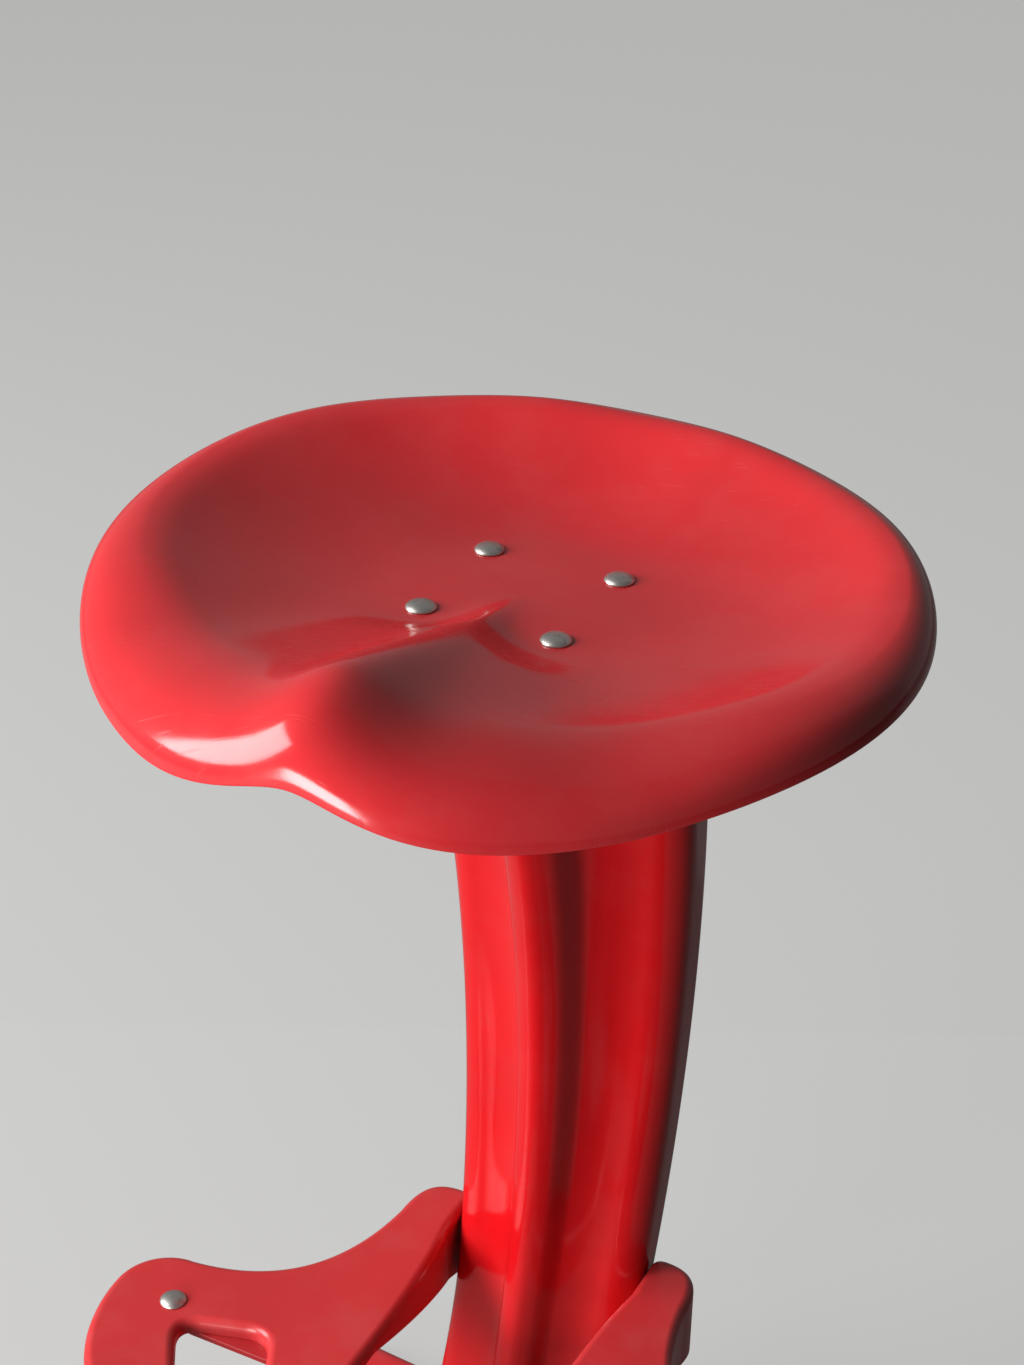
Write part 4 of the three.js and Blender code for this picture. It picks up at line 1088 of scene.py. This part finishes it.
def hexagon(name, low, high, bore):
    """A nut or a bolt's hex head: a six-sided prism with its corners turned off."""
    bpy.ops.object.select_all(action='DESELECT')
    bpy.ops.mesh.primitive_cylinder_add(vertices=6, radius=HEX_REACH * MM, depth=(high - low) * MM,
                                        location=(0, 0, (low + high) / 2 * MM), rotation=(0, 0, math.pi / 6))
    prism = bpy.context.object
    prism.name = name
    settle(prism)
    lathe_radius = HEX_REACH + HEX_SPARE
    lathe = turned_part("chamfer", [(0, low), (HEX_FACE, low), (lathe_radius, low + HEX_CHAMFER),
                                    (lathe_radius, high - HEX_CHAMFER), (HEX_FACE, high), (0, high)])
    modify(prism, 'BOOLEAN', object=lathe, operation='INTERSECT', solver='EXACT')
    bpy.data.objects.remove(lathe)
    if bore:
        mouth = bore + BORE_CHAMFER
        tool = turned_part("tap", [(0, low - OVERRUN), (mouth, low - OVERRUN), (mouth, low),
                                   (bore, low + BORE_CHAMFER), (bore, high - BORE_CHAMFER), (mouth, high),
                                   (mouth, high + OVERRUN), (0, high + OVERRUN)])
        modify(prism, 'BOOLEAN', object=tool, operation='DIFFERENCE', solver='EXACT')
        bpy.data.objects.remove(tool)
    return prism


def hex_bolt(name, clamped):
    head = hexagon(name, 0, HEX_HEAD, 0)
    shank = turned_part("shank", shank_profile(bolt_length(clamped)) + [(SHANK, OVERRUN), (0, OVERRUN)])
    modify(head, 'BOOLEAN', object=shank, operation='UNION', solver='EXACT')
    bpy.data.objects.remove(shank)
    return head


WASHER_BORE = 3.3
WASHER_RADIUS = 6
WASHER_BREAK = 0.15
washer_top = [(WASHER_RADIUS, WASHER - WASHER_BREAK), (WASHER_RADIUS - WASHER_BREAK, WASHER),
              (WASHER_BORE + WASHER_BREAK, WASHER), (WASHER_BORE, WASHER - WASHER_BREAK)]
washer_low = [(WASHER_BORE, WASHER_BREAK), (WASHER_BORE + WASHER_BREAK, 0),
              (WASHER_RADIUS - WASHER_BREAK, 0), (WASHER_RADIUS, WASHER_BREAK)]
washer_part = turned_part("washer", washer_low + washer_top + washer_low[:1])
nut_part = hexagon("nut", 0, NUT, SHANK + FIT_GAP)
print("washer and nut:", len(washer_part.data.polygons), len(nut_part.data.polygons))

# %% Setting the fasteners
NUT_TURN = math.radians(37)
FOOT_BOLT_X = 56
FOOT_BOLT_AHEAD = 42


def upright(x, y, z):
    """The matrix that moves a part to a place in mm."""
    return Matrix.Translation((x * MM, y * MM, z * MM))


def four_places(half_x, half_y, setback, z):
    """The corners of a rectangle: front left, front right, back right, back left."""
    corners = ((-half_x, half_y), (half_x, half_y), (half_x, -half_y), (-half_x, -half_y))
    return [upright(x, ahead(forward - setback), z) for x, forward in corners]


def set_copy(part, node, place, finish):
    """Hangs a copy of a part, moved by a matrix, in the place of a node."""
    piece = part.copy()
    piece.data = part.data.copy()
    piece.name = node + "_part"
    bpy.context.scene.collection.objects.link(piece)
    piece.data.transform(place)
    finish_piece(piece, [node], finish, smooth=32)


def fasten(prefix, bolts, clamped_sizes, places):
    """places: a matrix for each bolt, with the underside of its head at the origin."""
    for i, (place, bolt, clamped) in enumerate(zip(places, bolts, clamped_sizes), 1):
        under = -clamped - 2 * FIT_GAP - WASHER
        spin = Matrix.Rotation(NUT_TURN * i, 4, 'Z')
        set_copy(bolt, f"{prefix}_{i}_bolt", place, bolt_steel)
        set_copy(washer_part, f"{prefix}_{i}_washer", place @ upright(0, 0, under), zinc_steel)
        set_copy(nut_part, f"{prefix}_{i}_nut", place @ upright(0, 0, under - FIT_GAP - NUT) @ spin,
                 zinc_steel)


seat_clamped = RED_SHEET + BRACKET + FIT_GAP
seat_bolt = carriage_bolt("seat_bolt", seat_clamped, RED_SHEET)
fasten("seat", [seat_bolt] * 4, [seat_clamped] * 4,
       four_places(BOLT_PLACE, BOLT_PLACE, 0, PAN_HEIGHT + FIT_GAP))

wing_clamped = RED_SHEET + TIE_THICKNESS + FIT_GAP
wing_bolt = carriage_bolt("wing_bolt", wing_clamped, RED_SHEET)
fasten("wing", [wing_bolt] * 2, [wing_clamped] * 2,
       [upright(x, ahead(WING_BOLT_AHEAD), FOOTREST_HEIGHT + FIT_GAP) for x in (-WING_BOLT_X, WING_BOLT_X)])

foot_plate_top = BOSS_TOP + FIT_GAP + FOOT_PLATE
foot_clamped = FOOT_PLATE + BASE_SHEET + FIT_GAP
foot_bolt = carriage_bolt("foot_bolt", foot_clamped, FOOT_PLATE)
fasten("foot", [foot_bolt] * 4, [foot_clamped] * 4,
       four_places(FOOT_BOLT_X, FOOT_BOLT_AHEAD, BOSS_SETBACK, foot_plate_top + FIT_GAP))

ear_bolts, ear_clamped, ear_places = [], [], []
for side in (-1, 1):
    for drop, bolt_y in zip(EAR_BOLTS_DOWN, ear_bolt_y):
        z = FOOTREST_HEIGHT - drop
        narrowest = min(stalk_half_width(z - WASHER_RADIUS), stalk_half_width(z + WASHER_RADIUS))
        clamped = EAR_INNER + RED_SHEET - narrowest + STALK_SHEET
        ear_clamped.append(clamped)
        ear_bolts.append(hex_bolt("ear_bolt", clamped))
        turn = Matrix.Rotation(side * math.pi / 2, 4, 'Y')
        ear_places.append(upright(side * (EAR_INNER + RED_SHEET + FIT_GAP), bolt_y, z) @ turn)
fasten("ear", ear_bolts, ear_clamped, ear_places)
for part in {seat_bolt, wing_bolt, foot_bolt, washer_part, nut_part, *ear_bolts}:
    bpy.data.objects.remove(part)

# %% [markdown]
# ## The glides
# Each lobe stands on a curved rubber glide with a slot for the shell's lower edge. Its section is a
# U, which is spun round the middle of the lobe. A straight strip could be bent by a modifier instead,
# but the spin gives the slot and the shell the same middle.

# %% Rubber glides
GLIDE_SWEEP = math.radians(96)
GLIDE_STEPS = 24
GLIDE_OUTER = LOBE_RADIUS + 3
GLIDE_INNER = LOBE_RADIUS - BASE_SHEET - 6
GLIDE_HEIGHT = 15
GLIDE_ROUND = 1
GLIDE_MITRE = 0.3
SLOT_SLACK = 0.8
slot_outer = LOBE_RADIUS + SLOT_SLACK
slot_inner = LOBE_RADIUS - BASE_SHEET - SLOT_SLACK
slot_floor = BASE_CLEARANCE - FIT_GAP
glide_section = [(GLIDE_INNER + GLIDE_ROUND, 0), (GLIDE_OUTER - GLIDE_ROUND, 0),
                 (GLIDE_OUTER - GLIDE_MITRE, GLIDE_MITRE), (GLIDE_OUTER, GLIDE_ROUND),
                 (GLIDE_OUTER, GLIDE_HEIGHT - GLIDE_ROUND),
                 (GLIDE_OUTER - GLIDE_MITRE, GLIDE_HEIGHT - GLIDE_MITRE),
                 (GLIDE_OUTER - GLIDE_ROUND, GLIDE_HEIGHT), (slot_outer, GLIDE_HEIGHT),
                 (slot_outer, slot_floor), (slot_inner, slot_floor), (slot_inner, GLIDE_HEIGHT),
                 (GLIDE_INNER + GLIDE_ROUND, GLIDE_HEIGHT),
                 (GLIDE_INNER + GLIDE_MITRE, GLIDE_HEIGHT - GLIDE_MITRE),
                 (GLIDE_INNER, GLIDE_HEIGHT - GLIDE_ROUND), (GLIDE_INNER, GLIDE_ROUND),
                 (GLIDE_INNER + GLIDE_MITRE, GLIDE_MITRE)]
for i, (x, y, _, _) in enumerate(lobes, 1):
    start = math.atan2(y - middle_y, x) - GLIDE_SWEEP / 2
    corners = [(x + r * math.cos(start), y + r * math.sin(start), z) for r, z in glide_section]
    mesh = bpy.data.meshes.new(f"glide_{i}_rubber")
    mesh.from_pydata([Vector(c) * MM for c in corners], [], [range(len(corners))])
    glide = bpy.data.objects.new(f"glide_{i}_rubber", mesh)
    bpy.context.scene.collection.objects.link(glide)
    pick(glide)
    bpy.ops.object.mode_set(mode='EDIT')
    bpy.ops.mesh.select_all(action='SELECT')
    bpy.ops.mesh.spin(steps=GLIDE_STEPS, angle=-GLIDE_SWEEP, center=(x * MM, y * MM, 0), axis=(0, 0, -1))
    bpy.ops.object.mode_set(mode='OBJECT')
    tidy(glide)
    finish_piece(glide, [f"glide_{i}"], glide_rubber, smooth=40)

# %% [markdown]
# ## The studio
# A plain pale floor and a pale backdrop. The main light is a large soft window at the left of the
# front, because the highlight on the seat's front lip mirrors one there and the left flank of the
# stalk's rib is the bright one. The rib shades its own right flank, so a smaller light stands low
# ahead, a little left of the middle, and lifts that flank. A wide dim panel stands upright close
# behind. The lights were fitted to the shading of the photograph, because its lamps aren't known.

# %% Floor and backdrop
BACKDROP = (0.62, 0.62, 0.61)
UNSEEN_SHARE = 0.2
MIRRORED_SHARE = 0.32
SHOWN_SHARE = 0.7
FLOOR_SIZE = 16


def stage_finish(name, colour):
    """A matt surface: pale to the camera, darker to other rays, so that it lights the object less."""
    material, shader, _ = new_finish(name)
    tree = material.node_tree
    sight = Wire(tree).node("ShaderNodeLightPath", output="Is Camera Ray")
    mirrored = Wire(tree).node("ShaderNodeLightPath", output="Is Glossy Ray")
    unseen = mirrored.blend(tuple(UNSEEN_SHARE * c for c in colour),
                            tuple(MIRRORED_SHARE * c for c in colour))
    connect(shader, "Base Color", sight.blend(unseen, colour))
    connect(shader, "Roughness", 0.9)
    glow = tree.nodes.new("ShaderNodeEmission")
    glow.inputs["Color"].default_value = (*colour, 1)
    mix = tree.nodes.new("ShaderNodeMixShader")
    connect(mix, "Fac", sight * SHOWN_SHARE)
    tree.links.new(shader.outputs[0], mix.inputs[1])
    tree.links.new(glow.outputs[0], mix.inputs[2])
    tree.links.new(mix.outputs[0], tree.nodes["Material Output"].inputs["Surface"])
    return material


bpy.ops.object.select_all(action='DESELECT')
bpy.ops.mesh.primitive_plane_add(size=FLOOR_SIZE, location=(0, 0, 0))
floor = bpy.context.object
floor.name = "floor"
floor.data.materials.append(stage_finish("floor_paint", BACKDROP))
print("floor", FLOOR_SIZE, "m square, outside the model")


# %% Lights
def soft_light(name, place, target, width, height, power):
    """A plain white panel that faces a point. Metres and watts."""
    lamp = bpy.data.lights.new(name, 'AREA')
    lamp.shape = 'RECTANGLE'
    lamp.size, lamp.size_y = width, height
    lamp.energy = power
    light = bpy.data.objects.new(name, lamp)
    light.location = place
    light.rotation_euler = (Vector(target) - Vector(place)).to_track_quat('-Z', 'Y').to_euler()
    light.visible_camera = False
    bpy.context.scene.collection.objects.link(light)
    print(name, "shines", round((Vector(target) - Vector(place)).length, 2), "m from its aim")


soft_light("window", (-2.35, -1.4, 1.95), (0, 0, 0.65), 2.0, 2.0, 140)
soft_light("low_glow", (-0.6, -2.1, 0.55), (0, -0.1, 0.5), 0.75, 0.75, 34)
soft_light("wall_behind", (-0.26, 0.52, 1.9), (0.19, -0.38, 1.9), 4.2, 3.8, 4)

# %% The world
ROOM_LIGHT = (0.03, 0.03, 0.031)
ROOM_MIRRORED = (0.18, 0.18, 0.18)
world = bpy.data.worlds.new("studio")
bpy.context.scene.world = world
world.use_nodes = True
tree = world.node_tree
ground = tree.nodes["Background"]
sight = Wire(tree).node("ShaderNodeLightPath", output="Is Camera Ray")
mirrored = Wire(tree).node("ShaderNodeLightPath", output="Is Glossy Ray")
seen = sight.blend(mirrored.blend(ROOM_LIGHT, ROOM_MIRRORED), BACKDROP)
tree.links.new(seen.socket, ground.inputs["Color"])
bpy.context.scene.view_settings.view_transform = 'Standard'
print("backdrop", BACKDROP, "room light", ROOM_LIGHT)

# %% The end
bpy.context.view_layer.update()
